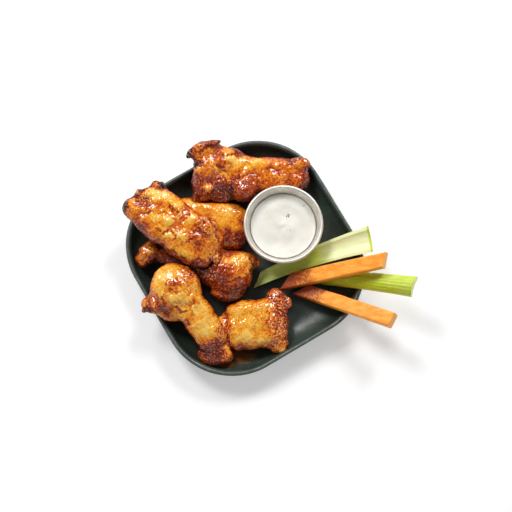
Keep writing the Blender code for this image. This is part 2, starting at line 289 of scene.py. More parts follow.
class Recipe:
    """A material's nodes, written as nested calls."""

    def __init__(self, name: str) -> None:
        """Start a material with one Principled shader.

        Args:
            name: The material's name.
        """
        self.material = bpy.data.materials.new(name)
        self.material.use_nodes = True
        self.tree = self.material.node_tree
        self.shader = self.tree.nodes["Principled BSDF"]
        self.place = self.tree.nodes.new("ShaderNodeTexCoord").outputs["Object"]

    def feed(self, socket: bpy.types.NodeSocket, value: object) -> None:
        """Link a socket to another, or give it a value.

        Args:
            socket: The socket to fill.
            value: A socket, a number, a colour or a row of three numbers.
        """
        if isinstance(value, bpy.types.NodeSocket):
            self.tree.links.new(value, socket)
        elif isinstance(value, tuple) and len(value) == 3 and socket.type == "RGBA":
            socket.default_value = (*value, 1.0)
        else:
            socket.default_value = value

    def node(self, kind: str, inputs: dict, **settings: object) -> bpy.types.Node:
        """Add a node.

        Args:
            kind: Its type, without the ShaderNode in front.
            inputs: Values or sockets by input name or number.
            settings: The node's own settings.

        Returns:
            The node.
        """
        made = self.tree.nodes.new("ShaderNode" + kind)
        for key, value in settings.items():
            setattr(made, key, value)
        for key, value in inputs.items():
            self.feed(made.inputs[key], value)
        return made

    def attribute(self, name: str) -> bpy.types.NodeSocket:
        """Read a number painted on the mesh."""
        return self.node("Attribute", {}, attribute_name=name).outputs["Fac"]

    def noise(
        self, size: float, detail: float = 2.0, rough: float = 0.5, **more: float
    ) -> bpy.types.NodeSocket:
        """Add soft noise.

        Args:
            size: Millimetres from one blotch to the next.
            detail: How many finer layers it holds.
            rough: How strong the finer layers are.
            more: twist distorts it, and stretched says what the others do.

        Returns:
            A value round one half.
        """
        inputs = {"Vector": self.stretched(more), "Scale": 1 / (size * MM), "Detail": detail}
        inputs |= {"Roughness": rough, "Distortion": more.get("twist", 0.0)}
        return self.node("TexNoise", inputs).outputs["Fac"]

    def cells(self, size: float) -> bpy.types.NodeSocket:
        """Add round cells some millimetres apart, as the distance from each one's middle."""
        inputs = {"Vector": self.place, "Scale": 1 / (size * MM)}
        return self.node("TexVoronoi", inputs, feature="F1").outputs["Distance"]

    def stretched(self, more: dict[str, float]) -> bpy.types.NodeSocket:
        """Draw the coordinates out along the slanted layout's axes.

        Args:
            more: stretch_x and stretch_y say how far, and turn turns the axes in degrees.

        Returns:
            The coordinates, drawn out if more asks for it.
        """
        scale = (1 / more.get("stretch_x", 1.0), 1 / more.get("stretch_y", 1.0), 1.0)
        if scale == (1, 1, 1):
            return self.place
        turn = -SLANT - math.radians(more.get("turn", 0.0))
        turned = self.node("Mapping", {"Vector": self.place, "Rotation": (0, 0, turn)}).outputs[0]
        return self.node("Mapping", {"Vector": turned, "Scale": scale}).outputs[0]

    def sum(self, operation: str, *values: object) -> bpy.types.NodeSocket:
        """Work out one step of arithmetic.

        Args:
            operation: Its name. One that ends in CLAMP is kept inside zero to one.
            values: What it works on, in order.

        Returns:
            The result.
        """
        kind = operation.removesuffix("_CLAMP")
        step = self.node("Math", dict(enumerate(values)), operation=kind)
        step.use_clamp = operation != kind
        return step.outputs[0]

    def scaled(self, value: object, by: float, plus: float) -> bpy.types.NodeSocket:
        """Multiply a value, then add to it."""
        return self.sum("MULTIPLY_ADD", value, by, plus)

    def spread(
        self, value: object, low: float, high: float, to_low: float = 0.0, to_high: float = 1.0
    ) -> bpy.types.NodeSocket:
        """Map a value from one range to another, smoothly, and keep it there.

        Args:
            value: The value.
            low: Where its range starts.
            high: Where its range ends.
            to_low: Where the new range starts.
            to_high: Where the new range ends.

        Returns:
            The new value.
        """
        inputs = {"Value": value, "From Min": low, "From Max": high}
        inputs |= {"To Min": to_low, "To Max": to_high}
        return self.node("MapRange", inputs, interpolation_type="SMOOTHSTEP").outputs[0]

    def mix(self, factor: object, first: object, second: object) -> bpy.types.NodeSocket:
        """Mix two colours.

        Args:
            factor: The second colour's share.
            first: The first colour.
            second: The second colour.

        Returns:
            The mixed colour.
        """
        made = self.node("Mix", {}, data_type="RGBA")
        for socket, value in ((0, factor), (6, first), (7, second)):
            self.feed(made.inputs[socket], value)
        return made.outputs[2]

    def ramp(self, value: object, stops: list[tuple[float, Colour]]) -> bpy.types.NodeSocket:
        """Turn a value into a colour.

        Args:
            value: The value.
            stops: Rising values, each with its colour.

        Returns:
            The colour.
        """
        made = self.node("ValToRGB", {"Fac": value})
        row = made.color_ramp.elements
        while len(row) < len(stops):
            row.new(0.5)
        for element, (position, colour) in zip(row, stops):
            element.position = position
            element.color = (*colour, 1.0)
        return made.outputs["Color"]

    def bump(self, height: object, depth: float, under: object = None) -> bpy.types.NodeSocket:
        """Turn a height into bent normals.

        Args:
            height: The height, zero to one.
            depth: What one means, in millimetres.
            under: The normals of the coarser relief below it.

        Returns:
            The normals.
        """
        inputs = {"Height": height, "Distance": depth * MM, "Strength": 1.0}
        if under is not None:
            inputs["Normal"] = under
        return self.node("Bump", inputs).outputs["Normal"]

    def soften(self, weight: float, scale: float, radius: Colour) -> None:
        """Let light into the surface: how much, how far in metres, and each colour's share."""
        self.set(subsurface_weight=weight, subsurface_scale=scale, subsurface_radius=radius)

    def set(self, **values: object) -> None:
        """Feed the shader's sockets.

        Args:
            values: What each gets, by its name with underscores.
        """
        for key, value in values.items():
            name = key.replace("_", " ").title().replace("Ior", "IOR")
            self.feed(self.shader.inputs[name], value)


class Finish(ABC):
    """A finish that can be laid on a piece."""

    @abstractmethod
    def cook(self) -> bpy.types.Material:
        """Make the finish's material."""

    def lay_on(self, piece: bpy.types.Object) -> None:
        """Dress a piece in this finish, with one material for all pieces that share it.

        Args:
            piece: The piece to dress.
        """
        name = type(self).__name__
        material = bpy.data.materials.get(name) or self.cook()
        material.name = name
        piece.data.materials.clear()
        piece.data.materials.append(material)


@dataclass(frozen=True)
class CharcoalGlaze(Finish):
    """Satin stoneware glaze, nearly black with a green cast, greyer on the lip: thin worn glaze and a
    painted highlight.
    """

    body: Colour = (0.027, 0.036, 0.028)
    light: Colour = (0.038, 0.052, 0.042)
    lip: Colour = (0.11, 0.13, 0.12)

    def cook(self) -> bpy.types.Material:
        """Make the glaze with cloudy colour, pale specks and a lip painted grey for its wear and its
        highlight.

        Returns:
            The material.
        """
        recipe = Recipe("charcoal glaze")
        cloudy = recipe.noise(size=26, detail=3, rough=0.55)
        colour = recipe.mix(recipe.spread(cloudy, low=0.35, high=0.7), self.body, self.light)
        speck = recipe.spread(recipe.noise(size=0.9, detail=1), low=0.68, high=0.78)
        colour = recipe.mix(speck, colour, self.lip)
        # The lip's grey band: worn glaze, and the rim's painted highlight.
        patchy = recipe.spread(recipe.noise(size=5, detail=3), low=0.25, high=0.7, to_low=0.35)
        wear_and_highlight = recipe.sum("MULTIPLY", recipe.attribute("lip"), patchy)
        colour = recipe.mix(wear_and_highlight, colour, self.lip)
        wavy = recipe.bump(recipe.noise(size=9), depth=0.25)
        normal = recipe.bump(recipe.noise(size=0.8), depth=0.02, under=wavy)
        gloss = recipe.noise(size=14, detail=3)
        rough = recipe.spread(gloss, low=0.3, high=0.7, to_low=0.26, to_high=0.42)
        recipe.set(base_color=colour, roughness=rough, normal=normal, ior=1.5)
        return recipe.material


@dataclass(frozen=True)
class SatinSteel(Finish):
    """Stamped stainless steel, brushed round and slightly cloudy."""

    steel: Colour = (0.80, 0.765, 0.70)
    dull: Colour = (0.68, 0.645, 0.58)

    def cook(self) -> bpy.types.Material:
        """Make the steel with fine brush lines and smudges.

        Returns:
            The material.
        """
        recipe = Recipe("satin steel")
        lines = recipe.noise(size=0.35, rough=0.6, stretch_x=40, stretch_y=40)
        smudge = recipe.noise(size=7, detail=3)
        colour = recipe.mix(recipe.spread(smudge, low=0.3, high=0.7), self.steel, self.dull)
        both = recipe.sum("ADD", lines, smudge)
        rough = recipe.spread(both, low=0.7, high=1.3, to_low=0.36, to_high=0.52)
        brushed = recipe.bump(lines, depth=0.012)
        recipe.set(base_color=colour, metallic=0.9, roughness=rough, normal=brushed)
        return recipe.material


@dataclass(frozen=True)
class CreamDip(Finish):
    """Thick cream dressing: soft, faintly warm and a little glossy."""

    cream: Colour = (0.74, 0.72, 0.655)
    warm: Colour = (0.66, 0.62, 0.52)

    def cook(self) -> bpy.types.Material:
        """Make the cream with warm patches and tiny bubbles.

        Returns:
            The material.
        """
        recipe = Recipe("cream dip")
        patch = recipe.spread(recipe.noise(size=9), low=0.45, high=0.75, to_high=0.5)
        bubbles = recipe.spread(recipe.cells(size=1.6), low=0.05, high=0.16)
        soft = recipe.bump(recipe.noise(size=3.5, detail=3), depth=0.15)
        recipe.set(base_color=recipe.mix(patch, self.cream, self.warm), roughness=0.42)
        recipe.set(normal=recipe.bump(bubbles, depth=0.02, under=soft))
        recipe.soften(weight=0.25, scale=0.003, radius=(1.0, 0.8, 0.6))
        return recipe.material


@dataclass(frozen=True)
class WingGlaze(Finish):
    """Browned skin under a wet sticky glaze, from pale gold over amber and red-brown to char, with
    painted glints.
    """

    pale: Colour = (0.84, 0.51, 0.11)
    gold: Colour = (0.80, 0.34, 0.018)
    amber: Colour = (0.66, 0.16, 0.007)
    red: Colour = (0.43, 0.055, 0.005)
    rust: Colour = (0.22, 0.021, 0.003)
    umber: Colour = (0.105, 0.010, 0.002)
    char: Colour = (0.010, 0.004, 0.003)
    # the painted glint colour: pale pink specks that stand for small highlights on the glaze; sparkle
    # sets how strongly they show
    salt: Colour = (0.95, 0.54, 0.36)
    stages: tuple[float, ...] = (0.0, 0.2, 0.42, 0.58, 0.72, 0.86, 1.0)  # pale to char
    nearly_char: float = 0.8  # where noise alone stops browning
    sparkle: float = 0.85

    def cook(self) -> bpy.types.Material:
        """Make the skin: browning and painted shade from the mesh, broken up by noise and by painted
        shade in the ripples' hollows, with painted glints, under a clear coat.

        Returns:
            The material.
        """
        recipe = Recipe("wing glaze")
        crust = recipe.attribute("crust")
        brown = recipe.attribute("browning_and_shade")
        ripple = recipe.noise(size=3.3, detail=3, rough=0.55, twist=0.3)
        grain = recipe.noise(size=1.4, rough=0.65)
        cloud = recipe.scaled(recipe.noise(size=12, detail=1, twist=0.6), by=0.6, plus=-0.3)
        # Glaze pooled in the ripples' hollows, painted darker there, which also paints their shade.
        low_ripple = recipe.sum("SUBTRACT", 0.5, ripple)
        pooled_and_shaded = recipe.sum("MULTIPLY", low_ripple, recipe.scaled(brown, by=0.35, plus=0.15))
        low_grain = recipe.sum("SUBTRACT", 0.5, grain)
        fleck = recipe.sum("MULTIPLY", low_grain, recipe.scaled(crust, by=0.9, plus=1.0))
        total = recipe.sum("ADD", recipe.sum("ADD", brown, cloud), recipe.sum("ADD", pooled_and_shaded, fleck))
        most = recipe.sum("MAXIMUM", brown, self.nearly_char)
        total = recipe.sum("MINIMUM", total, most)
        colours = (self.pale, self.gold, self.amber, self.red, self.rust, self.umber, self.char)
        colour = recipe.ramp(total, list(zip(self.stages, colours)))
        # Painted glints: pale specks on the grain's peaks, where the skin is darker and where crust
        # is painted.
        glint_where = recipe.spread(total, low=0.45, high=0.75, to_high=0.5)
        glint_where = recipe.sum("MAXIMUM", crust, glint_where)
        glint = recipe.sum("MULTIPLY", recipe.spread(grain, low=0.56, high=0.66), glint_where)
        colour = recipe.mix(recipe.sum("MULTIPLY", glint, self.sparkle), colour, self.salt)
        gritty = recipe.sum("MULTIPLY", grain, recipe.scaled(crust, by=1.1, plus=0.2))
        normal = recipe.bump(gritty, depth=0.4, under=recipe.bump(ripple, depth=0.7))
        recipe.set(base_color=colour, roughness=0.4, normal=normal)
        recipe.set(specular_ior_level=0.05, specular_tint=(1.0, 0.62, 0.35))
        wet = recipe.bump(recipe.noise(size=3.0, detail=1, rough=0.4), depth=0.6)
        facing = recipe.node("LayerWeight", {"Blend": 0.5}).outputs["Facing"]
        coat = recipe.spread(facing, low=0.35, high=0.9, to_low=1.0, to_high=0.1)
        recipe.set(coat_weight=coat, coat_normal=wet, coat_ior=1.55, coat_roughness=0.04)
        recipe.soften(weight=0.06, scale=0.002, radius=(1.0, 0.35, 0.12))
        return recipe.material


@dataclass(frozen=True)
class CeleryFlesh(Finish):
    """Celery: green ribs outside, paler inside the hollow and at the cut ends."""

    green: Colour = (0.47, 0.58, 0.014)
    pale: Colour = (0.80, 0.84, 0.55)
    cut: Colour = (0.76, 0.82, 0.46)

    def cook(self) -> bpy.types.Material:
        """Make the flesh from the ribs, the hollow and the ends painted on the mesh.

        Returns:
            The material.
        """
        recipe = Recipe("celery flesh")
        streak = recipe.noise(size=2.2, detail=3, rough=0.6, stretch_x=9, turn=5)
        streak = recipe.scaled(streak, by=0.7, plus=-0.35)
        share = recipe.sum("ADD_CLAMP", recipe.attribute("pale"), streak)
        colour = recipe.mix(share, self.green, self.pale)
        colour = recipe.mix(recipe.attribute("cut"), colour, self.cut)
        ridged = recipe.bump(recipe.noise(size=1.2, stretch_x=3), depth=0.12)
        recipe.set(base_color=colour, roughness=0.45, normal=ridged, specular_ior_level=0.3)
        recipe.soften(weight=0.18, scale=0.003, radius=(0.8, 1.0, 0.3))
        return recipe.material


@dataclass(frozen=True)
class CarrotFlesh(Finish):
    """Cut carrot: bright orange with a paler core streak and speckled, slightly dry faces, stained
    with glaze and painted with shade at the inner end.
    """

    orange: Colour = (0.92, 0.27, 0.012)
    light: Colour = (0.96, 0.43, 0.055)
    deep: Colour = (0.78, 0.15, 0.008)
    stained: Colour = (0.30, 0.035, 0.005)

    def cook(self) -> bpy.types.Material:
        """Make the flesh with grain along the stick, lighter ends, and a glaze stain with painted
        shade at the inner end.

        Returns:
            The material.
        """
        recipe = Recipe("carrot flesh")
        grain = recipe.noise(size=3.0, detail=4, rough=0.6, stretch_x=5)
        colour = recipe.mix(recipe.spread(grain, low=0.3, high=0.7), self.orange, self.light)
        pits = recipe.spread(recipe.noise(size=1.3), low=0.6, high=0.75, to_high=0.45)
        colour = recipe.mix(pits, colour, self.deep)
        colour = recipe.mix(recipe.attribute("cut"), colour, self.light)
        spots = recipe.scaled(recipe.noise(size=1.8, detail=3, rough=0.6), by=1.6, plus=-0.8)
        # The glaze stain toward the inner end, painted darker also as the shade there.
        stain_and_shade = recipe.sum("ADD", recipe.attribute("stain_and_shade"), spots)
        stain_and_shade = recipe.spread(stain_and_shade, low=0.15, high=0.95, to_high=0.97)
        colour = recipe.mix(stain_and_shade, colour, self.stained)
        dry = recipe.bump(recipe.noise(size=0.9, detail=3, rough=0.6), depth=0.16)
        recipe.set(base_color=colour, roughness=0.5, normal=dry, specular_ior_level=0.35)
        recipe.soften(weight=0.1, scale=0.002, radius=(1.0, 0.4, 0.1))
        return recipe.material


@dataclass(frozen=True)
class Seasoning(Finish):
    """Dry flecks of black pepper and dark green herb."""

    pepper: Colour = (0.030, 0.016, 0.010)
    herb: Colour = (0.075, 0.085, 0.028)

    def cook(self) -> bpy.types.Material:
        """Make the flecks, some of one and some of the other.

        Returns:
            The material.
        """
        recipe = Recipe("seasoning")
        either = recipe.spread(recipe.noise(size=2.5, detail=1), low=0.47, high=0.53)
        recipe.set(base_color=recipe.mix(either, self.pepper, self.herb), roughness=0.6)
        return recipe.material


@dataclass(frozen=True)
class PooledGlaze(Finish):
    """Brown glaze that ran off the wings, thin and glossy on the plate."""

    thick: Colour = (0.17, 0.062, 0.012)
    thin: Colour = (0.05, 0.034, 0.016)

    def cook(self) -> bpy.types.Material:
        """Make the glaze, browner where it is thick.

        Returns:
            The material.
        """
        recipe = Recipe("pooled glaze")
        colour = recipe.mix(recipe.attribute("thick"), self.thin, self.thick)
        wavy = recipe.bump(recipe.noise(size=3), depth=0.15)
        recipe.set(base_color=colour, roughness=0.28, normal=wavy, coat_weight=0.5)
        return recipe.material


@dataclass(frozen=True)
class StudioPaper(Finish):
    """Plain white paper for the floor, lit a little from behind so that shadows stay pale."""

    white: Colour = (0.72, 0.72, 0.72)
    glow: float = 0.32

    def cook(self) -> bpy.types.Material:
        """Make the paper.

        Returns:
            The material.
        """
        recipe = Recipe("studio paper")
        recipe.set(base_color=self.white, roughness=0.9, specular_ior_level=0.1)
        recipe.set(emission_color=(1.0, 1.0, 1.0), emission_strength=self.glow)
        return recipe.material


# ---------------------------------------------------------------- pieces


@dataclass
class Piece:
    """A piece of the serving and how it joins the frame."""

    name: str
    nodes: tuple[str, ...]
    slot: str

    def settle(self, piece: bpy.types.Object) -> None:
        """Hand a finished object to the frame and report it.

        Args:
            piece: The object.
        """
        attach(piece, BODY)
        if self.nodes:
            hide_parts(*self.nodes)
        LOG.info("%s: %d faces", piece.name, len(piece.data.polygons))


@dataclass
class Plate(Piece):
    """The rounded square plate. Sizes are in metres."""

    name: str = "plate_glazed"
    nodes: tuple[str, ...] = ("plate",)
    slot: str = "plate"
    corner_share: float = 0.056 / 0.085
    corner_cuts: int = 16
    foot_half: float = 0.053
    foot_ring: float = 0.004
    foot_groove: tuple[float, float] = (0.0015, -0.0012)  # its width and depth
    flare: float = 0.9
    floor_top: float = 0.005
    wall: float = 0.004
    wall_bend: float = 0.021
    lip_under: float = 0.88
    lip_rings: tuple[Place, ...] = (  # shares of the wall's thickness and of the height
        (0.02, 0.925), (0.10, 0.96), (0.24, 0.99), (0.40, 1.0), (0.56, 0.992), (0.72, 0.968),
        (0.88, 0.925),
    )
    lip_worn: float = 0.0011
    steps: int = 14

    def profile(self, half: float, height: float) -> list[Place]:
        """Work out the (half width, height) rings from the foot, over the lip, to the floor.

        Args:
            half: Half the plate's width.
            height: The plate's height.

        Returns:
            The rings in order.
        """
        rings = []
        for step in range(self.steps + 1):
            turn = math.radians(90 * (step / self.steps) ** self.flare)
            reach = self.foot_half + (half - self.foot_half) * math.sin(turn)
            rings.append((reach, self.lip_under * height * (1 - math.cos(turn))))
        rings += [(half - across * self.wall, up * height) for across, up in self.lip_rings]
        depth = self.lip_under * (height - self.floor_top)
        for step in range(self.steps + 1):
            turn = math.radians(90 * step / self.steps)
            reach = half - self.wall - self.wall_bend * (1 - math.cos(turn))
            rings.append((reach, self.floor_top + depth * (1 - math.sin(turn))))
        inner, floor = rings[-1]
        return rings + [(inner * share, floor) for share in (0.85, 0.6, 0.3)]

    def build(self) -> None:
        """Grow the plate from its foot and glaze it."""
        low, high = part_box("plate")
        put_down()
        bpy.ops.mesh.primitive_plane_add(size=2 * self.foot_half)
        piece = new_piece(self.name)
        open_up(piece)
        corner = self.corner_share * self.foot_half
        bpy.ops.mesh.bevel(offset=corner, segments=self.corner_cuts, affect="VERTICES")
        close_up()
        grow(piece, Vector((0, 0, 0)), self.profile((high.x - low.x) / 2, high.z))
        self.cut_foot_ring(piece)
        round_off(piece)
        Relief(size=38, depth=0.5, detail=1).press(piece, seed=3)
        points = points_of(piece.data)
        points[:, 2] = np.maximum(points[:, 2], 0.0)
        set_points(piece.data, points)
        # The grey band round the rim's top: worn glaze, and the rim's painted highlight.
        paint(piece.data, "lip", np.clip(1 - np.abs(points[:, 2] - high.z) / self.lip_worn, 0, 1))
        shade(piece)
        CharcoalGlaze().lay_on(piece)
        self.settle(piece)

    def cut_foot_ring(self, piece: bpy.types.Object) -> None:
        """Sink the middle of the underside, so that the plate stands on a ring.

        Args:
            piece: The plate.
        """
        open_up(piece, everything=False)
        mesh = bmesh.from_edit_mesh(piece.data)
        for face in mesh.faces:
            face.select_set(face.calc_center_median().z < 0.1 * MM)
        bmesh.update_edit_mesh(piece.data)
        width, sunk = self.foot_groove
        bpy.ops.mesh.inset(thickness=self.foot_ring)
        bpy.ops.mesh.inset(thickness=width, depth=sunk)
        close_up()


@dataclass
class SauceCup(Piece):
    """The stamped steel cup with its rolled rim. Sizes are in metres."""

    name: str = "sauce_cup_steel"
    nodes: tuple[str, ...] = ("sauce_cup",)
    slot: str = "sauce_cup"
    base_radius: float = 0.0185
    base_edge: tuple[Place, ...] = ((0.0018, 0.0), (0.0004, 0.0005))  # inwards, and up
    wall: float = 0.0008
    rim_roll: float = 0.0013
    segments: int = 96

    def measure(self) -> tuple[Vector, float, float]:
        """Read the cup's place and size from the frame.

        Returns:
            Its foot point, height and rim radius.
        """
        low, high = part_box("sauce_cup")
        foot = Vector(((low.x + high.x) / 2, (low.y + high.y) / 2, low.z))
        return foot, high.z - low.z, (high.x - low.x) / 2

    def radius(self, height: float) -> float:
        """Work out the outer radius at a height above the cup's base."""
        _, tall, rim = self.measure()
        return self.base_radius + (rim - self.rim_roll - self.base_radius) * height / tall

    def profile(self, top: float) -> list[Place]:
        """Work out the (radius, height) rings from the base, round the rim and down inside.

        Args:
            top: The height of the rim roll's middle.

        Returns:
            The rings in order.
        """
        rings = [(self.base_radius - inwards, up) for inwards, up in self.base_edge]
        outside = [top * share for share in (0.06, 0.2, 0.4, 0.6, 0.8, 0.93)]
        rings += [(self.radius(height), height) for height in outside]
        middle = self.radius(top) - self.wall + self.rim_roll
        for degrees in range(-60, 181, 20):
            turn = math.radians(degrees)
            out, up = self.rim_roll * math.cos(turn), self.rim_roll * math.sin(turn)
            rings.append((middle + out, top + up))
        inside = [top * share for share in (0.95, 0.9, 0.75, 0.6, 0.4, 0.2, 0.08)]
        rings += [(self.radius(height) - self.wall, height) for height in inside]
        return rings + [(self.base_radius * share, 1.4 * self.wall) for share in (0.88, 0.5, 0.1)]

    def build(self) -> None:
        """Grow the cup from its base and brush it."""
        foot, tall, _ = self.measure()
        rings = self.profile(tall - self.rim_roll)
        put_down()
        bpy.ops.mesh.primitive_circle_add(
            vertices=self.segments, radius=rings[0][0], fill_type="NGON", location=foot
        )
        piece = new_piece(self.name)
        grow(piece, foot, rings)
        round_off(piece)
        shade(piece, 70)
        SatinSteel().lay_on(piece)
        self.settle(piece)


@dataclass
class Dip(Piece):
    """The creamy dip, from the cup's floor to its swirled top. Sizes are in metres."""

    name: str = "dip_cream"
    nodes: tuple[str, ...] = ("dip",)
    slot: str = "dip"
    below_rim: float = 0.0085
    clear: float = 0.0001
    swirl: float = 0.35 * MM
    wall_rise: float = 0.9 * MM
    dents: tuple[tuple[float, float, float, float], ...] = (  # x, y and height in mm, and spread
        (-9, -8, -1.5, 36), (2, -4, 0.7, 20),
    )
    segments: int = 112
    rings: int = 26

    def surface(self, x: np.ndarray, y: np.ndarray, brim: float, reach: float) -> np.ndarray:
        """Work out the height of the top: swirls, a spoon's dent and the rise at the wall.

        Args:
            x: Distances from the middle, along the frame's X.
            y: Distances from the middle, along the frame's Y.
            brim: The dip's level.
            reach: The radius of its top.

        Returns:
            The heights.
        """
        far = np.hypot(x, y) / reach
        height = brim + self.wall_rise * far**14
        height += self.swirl * np.sin(3.2 * math.pi * far + np.arctan2(y, x)) * (1 - far**4)
        for left, away, rise, spread in self.dents:
            height += rise * MM * np.exp(-((x / MM - left) ** 2 + (y / MM - away) ** 2) / spread)
        return height

    def build(self) -> None:
        """Grow the dip up the cup's wall, then shape its top."""
        cup = SauceCup()
        foot, tall, _ = cup.measure()
        brim = tall - self.below_rim
        gap = cup.wall + self.clear
        heights = [brim * share for share in (0.12, 0.4, 0.7, 0.9, 1.0)]
        profile = [(cup.radius(height) - gap, height) for height in heights]
        start, reach = profile[0], profile[-1][0]
        profile += [(reach * (1 - step / self.rings), brim) for step in range(1, self.rings)]
        put_down()
        bpy.ops.mesh.primitive_circle_add(
            vertices=self.segments, radius=start[0], fill_type="NGON", location=foot
        )
        piece = new_piece(self.name)
        bpy.ops.transform.translate(value=(0, 0, start[1]))
        bpy.ops.object.transform_apply(location=True)
        grow(piece, foot, profile)
        points = points_of(piece.data)
        x, y = points[:, 0] - foot.x, points[:, 1] - foot.y
        top = points[:, 2] > foot.z + brim - 0.1 * MM
        points[:, 2] = np.where(top, foot.z + self.surface(x, y, brim, reach), points[:, 2])
        set_points(piece.data, points)
        round_off(piece)
        Relief(size=7, depth=0.35, detail=2).press(piece, seed=5)
        shade(piece)
        CreamDip().lay_on(piece)
        self.settle(piece)


@dataclass(frozen=True)
class Lump:
    """A swelling of meat, skin or bone end, in millimetres in the slanted layout."""

    middle: tuple[float, float, float]
    size: tuple[float, float, float]
    heading: float = 0.0

    def add(self) -> bpy.types.Object:
        """Add the swelling as a ball drawn out to its size.

        Returns:
            The ball.
        """
        put_down()
        turn = Matrix.Rotation(SLANT + math.radians(self.heading), 3, "Z")
        bpy.ops.mesh.primitive_uv_sphere_add(
            segments=32, ring_count=20, radius=0.5 * MM, location=laid(*self.middle),
            rotation=turn.to_euler(), scale=self.size,
        )
        return new_piece("lump")


@dataclass(frozen=True)
class Patch:
    """A patch of skin unlike the skin round it, in millimetres in the slanted layout.

    brown is how much browner it is, rise how far it swells, and crust how rough it is and how
    strongly painted glints show there. Some patches are painted light: a sunk dark one paints shade
    in a recess, a small pale crusty one a glint.
    """

    middle: Place
    radii: Place
    brown: float = 0.0
    heading: float = 0.0
    rise: float = 0.0
    crust: float = 0.0

    def over(self, x: np.ndarray, y: np.ndarray) -> np.ndarray:
        """Work out how strong the patch is at each place of the layout.

        Args:
            x: Places along the layout's X.
            y: Places along its Y.

        Returns:
            One inside the patch, falling softly to zero.
        """
        turn = math.radians(self.heading)
        x, y = x - self.middle[0], y - self.middle[1]
        along = x * math.cos(turn) + y * math.sin(turn)
        across = y * math.cos(turn) - x * math.sin(turn)
        far = (along / self.radii[0]) ** 2 + (across / self.radii[1]) ** 2
        return np.exp(-0.7 * far**1.6)


@dataclass(frozen=True)
class Fold:
    """An edge of skin lying over the skin beside it: raised left of its line, sunk on the right.

    The line runs through places in the slanted layout. Sizes are in millimetres.
    """

    line: tuple[Place, ...]
    rise: float = 0.7
    reach: float = 4.0
    dark: float = 0.3

    def beside(self, x: np.ndarray, y: np.ndarray) -> tuple[np.ndarray, np.ndarray]:
        """Measure how far left of the line each place is, and how strong the fold is there.

        Args:
            x: Places along the layout's X.
            y: Places along its Y.

        Returns:
            Signed distances, and strengths that fade at the line's ends.
        """
        nearest = np.full(len(x), 1e9)
        side = np.ones(len(x))
        share = np.zeros(len(x))
        pieces = len(self.line) - 1
        for number, ((x0, y0), (x1, y1)) in enumerate(zip(self.line, self.line[1:])):
            dx, dy = x1 - x0, y1 - y0
            part = np.clip(((x - x0) * dx + (y - y0) * dy) / (dx * dx + dy * dy), 0, 1)
            far = np.hypot(x - x0 - part * dx, y - y0 - part * dy)
            closer = far < nearest
            nearest = np.where(closer, far, nearest)
            side = np.where(closer, np.sign(dx * (y - y0) - dy * (x - x0)), side)
            share = np.where(closer, (number + part) / pieces, share)
        return side * nearest, np.clip(5 * share * (1 - share), 0, 1)

    def lift(self, x: np.ndarray, y: np.ndarray) -> np.ndarray:
        """Work out how far the fold lifts or sinks the skin.

        Args:
            x: Places along the layout's X.
            y: Places along its Y.

        Returns:
            Millimetres at each place.
        """
        left, strength = self.beside(x, y)
        reach = np.where(left > 0, self.reach, 0.5 * self.reach)
        return strength * self.rise * np.tanh(left / 0.5) * np.exp(-np.abs(left) / reach)

    def shadow(self, x: np.ndarray, y: np.ndarray) -> np.ndarray:
        """Work out the fold's painted shade: a painted shadow below the edge, a painted highlight on
        it.

        Args:
            x: Places along the layout's X.
            y: Places along its Y.

        Returns:
            The painted shadow and highlight at each place, as browning.
        """
        left, strength = self.beside(x, y)
        below = np.exp(-(((left + 0.9) / 1.4) ** 2))
        crest = np.exp(-(((left - 1.0) / 1.2) ** 2))
        return strength * self.dark * (below - 0.3 * crest)


@dataclass(frozen=True)
class Heat:
    """How the oven browned the skin, and where shade is painted on it: what each cause adds, and
    where it stops.
    """

    # flank, steep, hollow and crease paint shade on the sides and in the hollows, together with their
    # browning
    flank: float = 0.5  # broad sides that face outwards
    steep: float = 0.12  # the sides of each bump
    facing: float = 0.8  # skin that faces up more than this gets neither
    hollow: float = 0.11  # broad hollows, for each broad_mm of their depth
    broad_mm: float = 0.5
    broad_range: Place = (-0.6, 1.5)
    crease: float = 0.06  # fine creases, for each fine_mm of their depth
    fine_mm: float = 0.08
    most: float = 0.74  # what all of these reach
    patch: float = 1.15
    fold: float = 0.5
    dark: float = 0.66  # past this, browning is slowed
    slowed: float = 0.6
    rounds: tuple[int, int, int] = (60, 40, 6)  # how far flanks, hollows and creases are felt


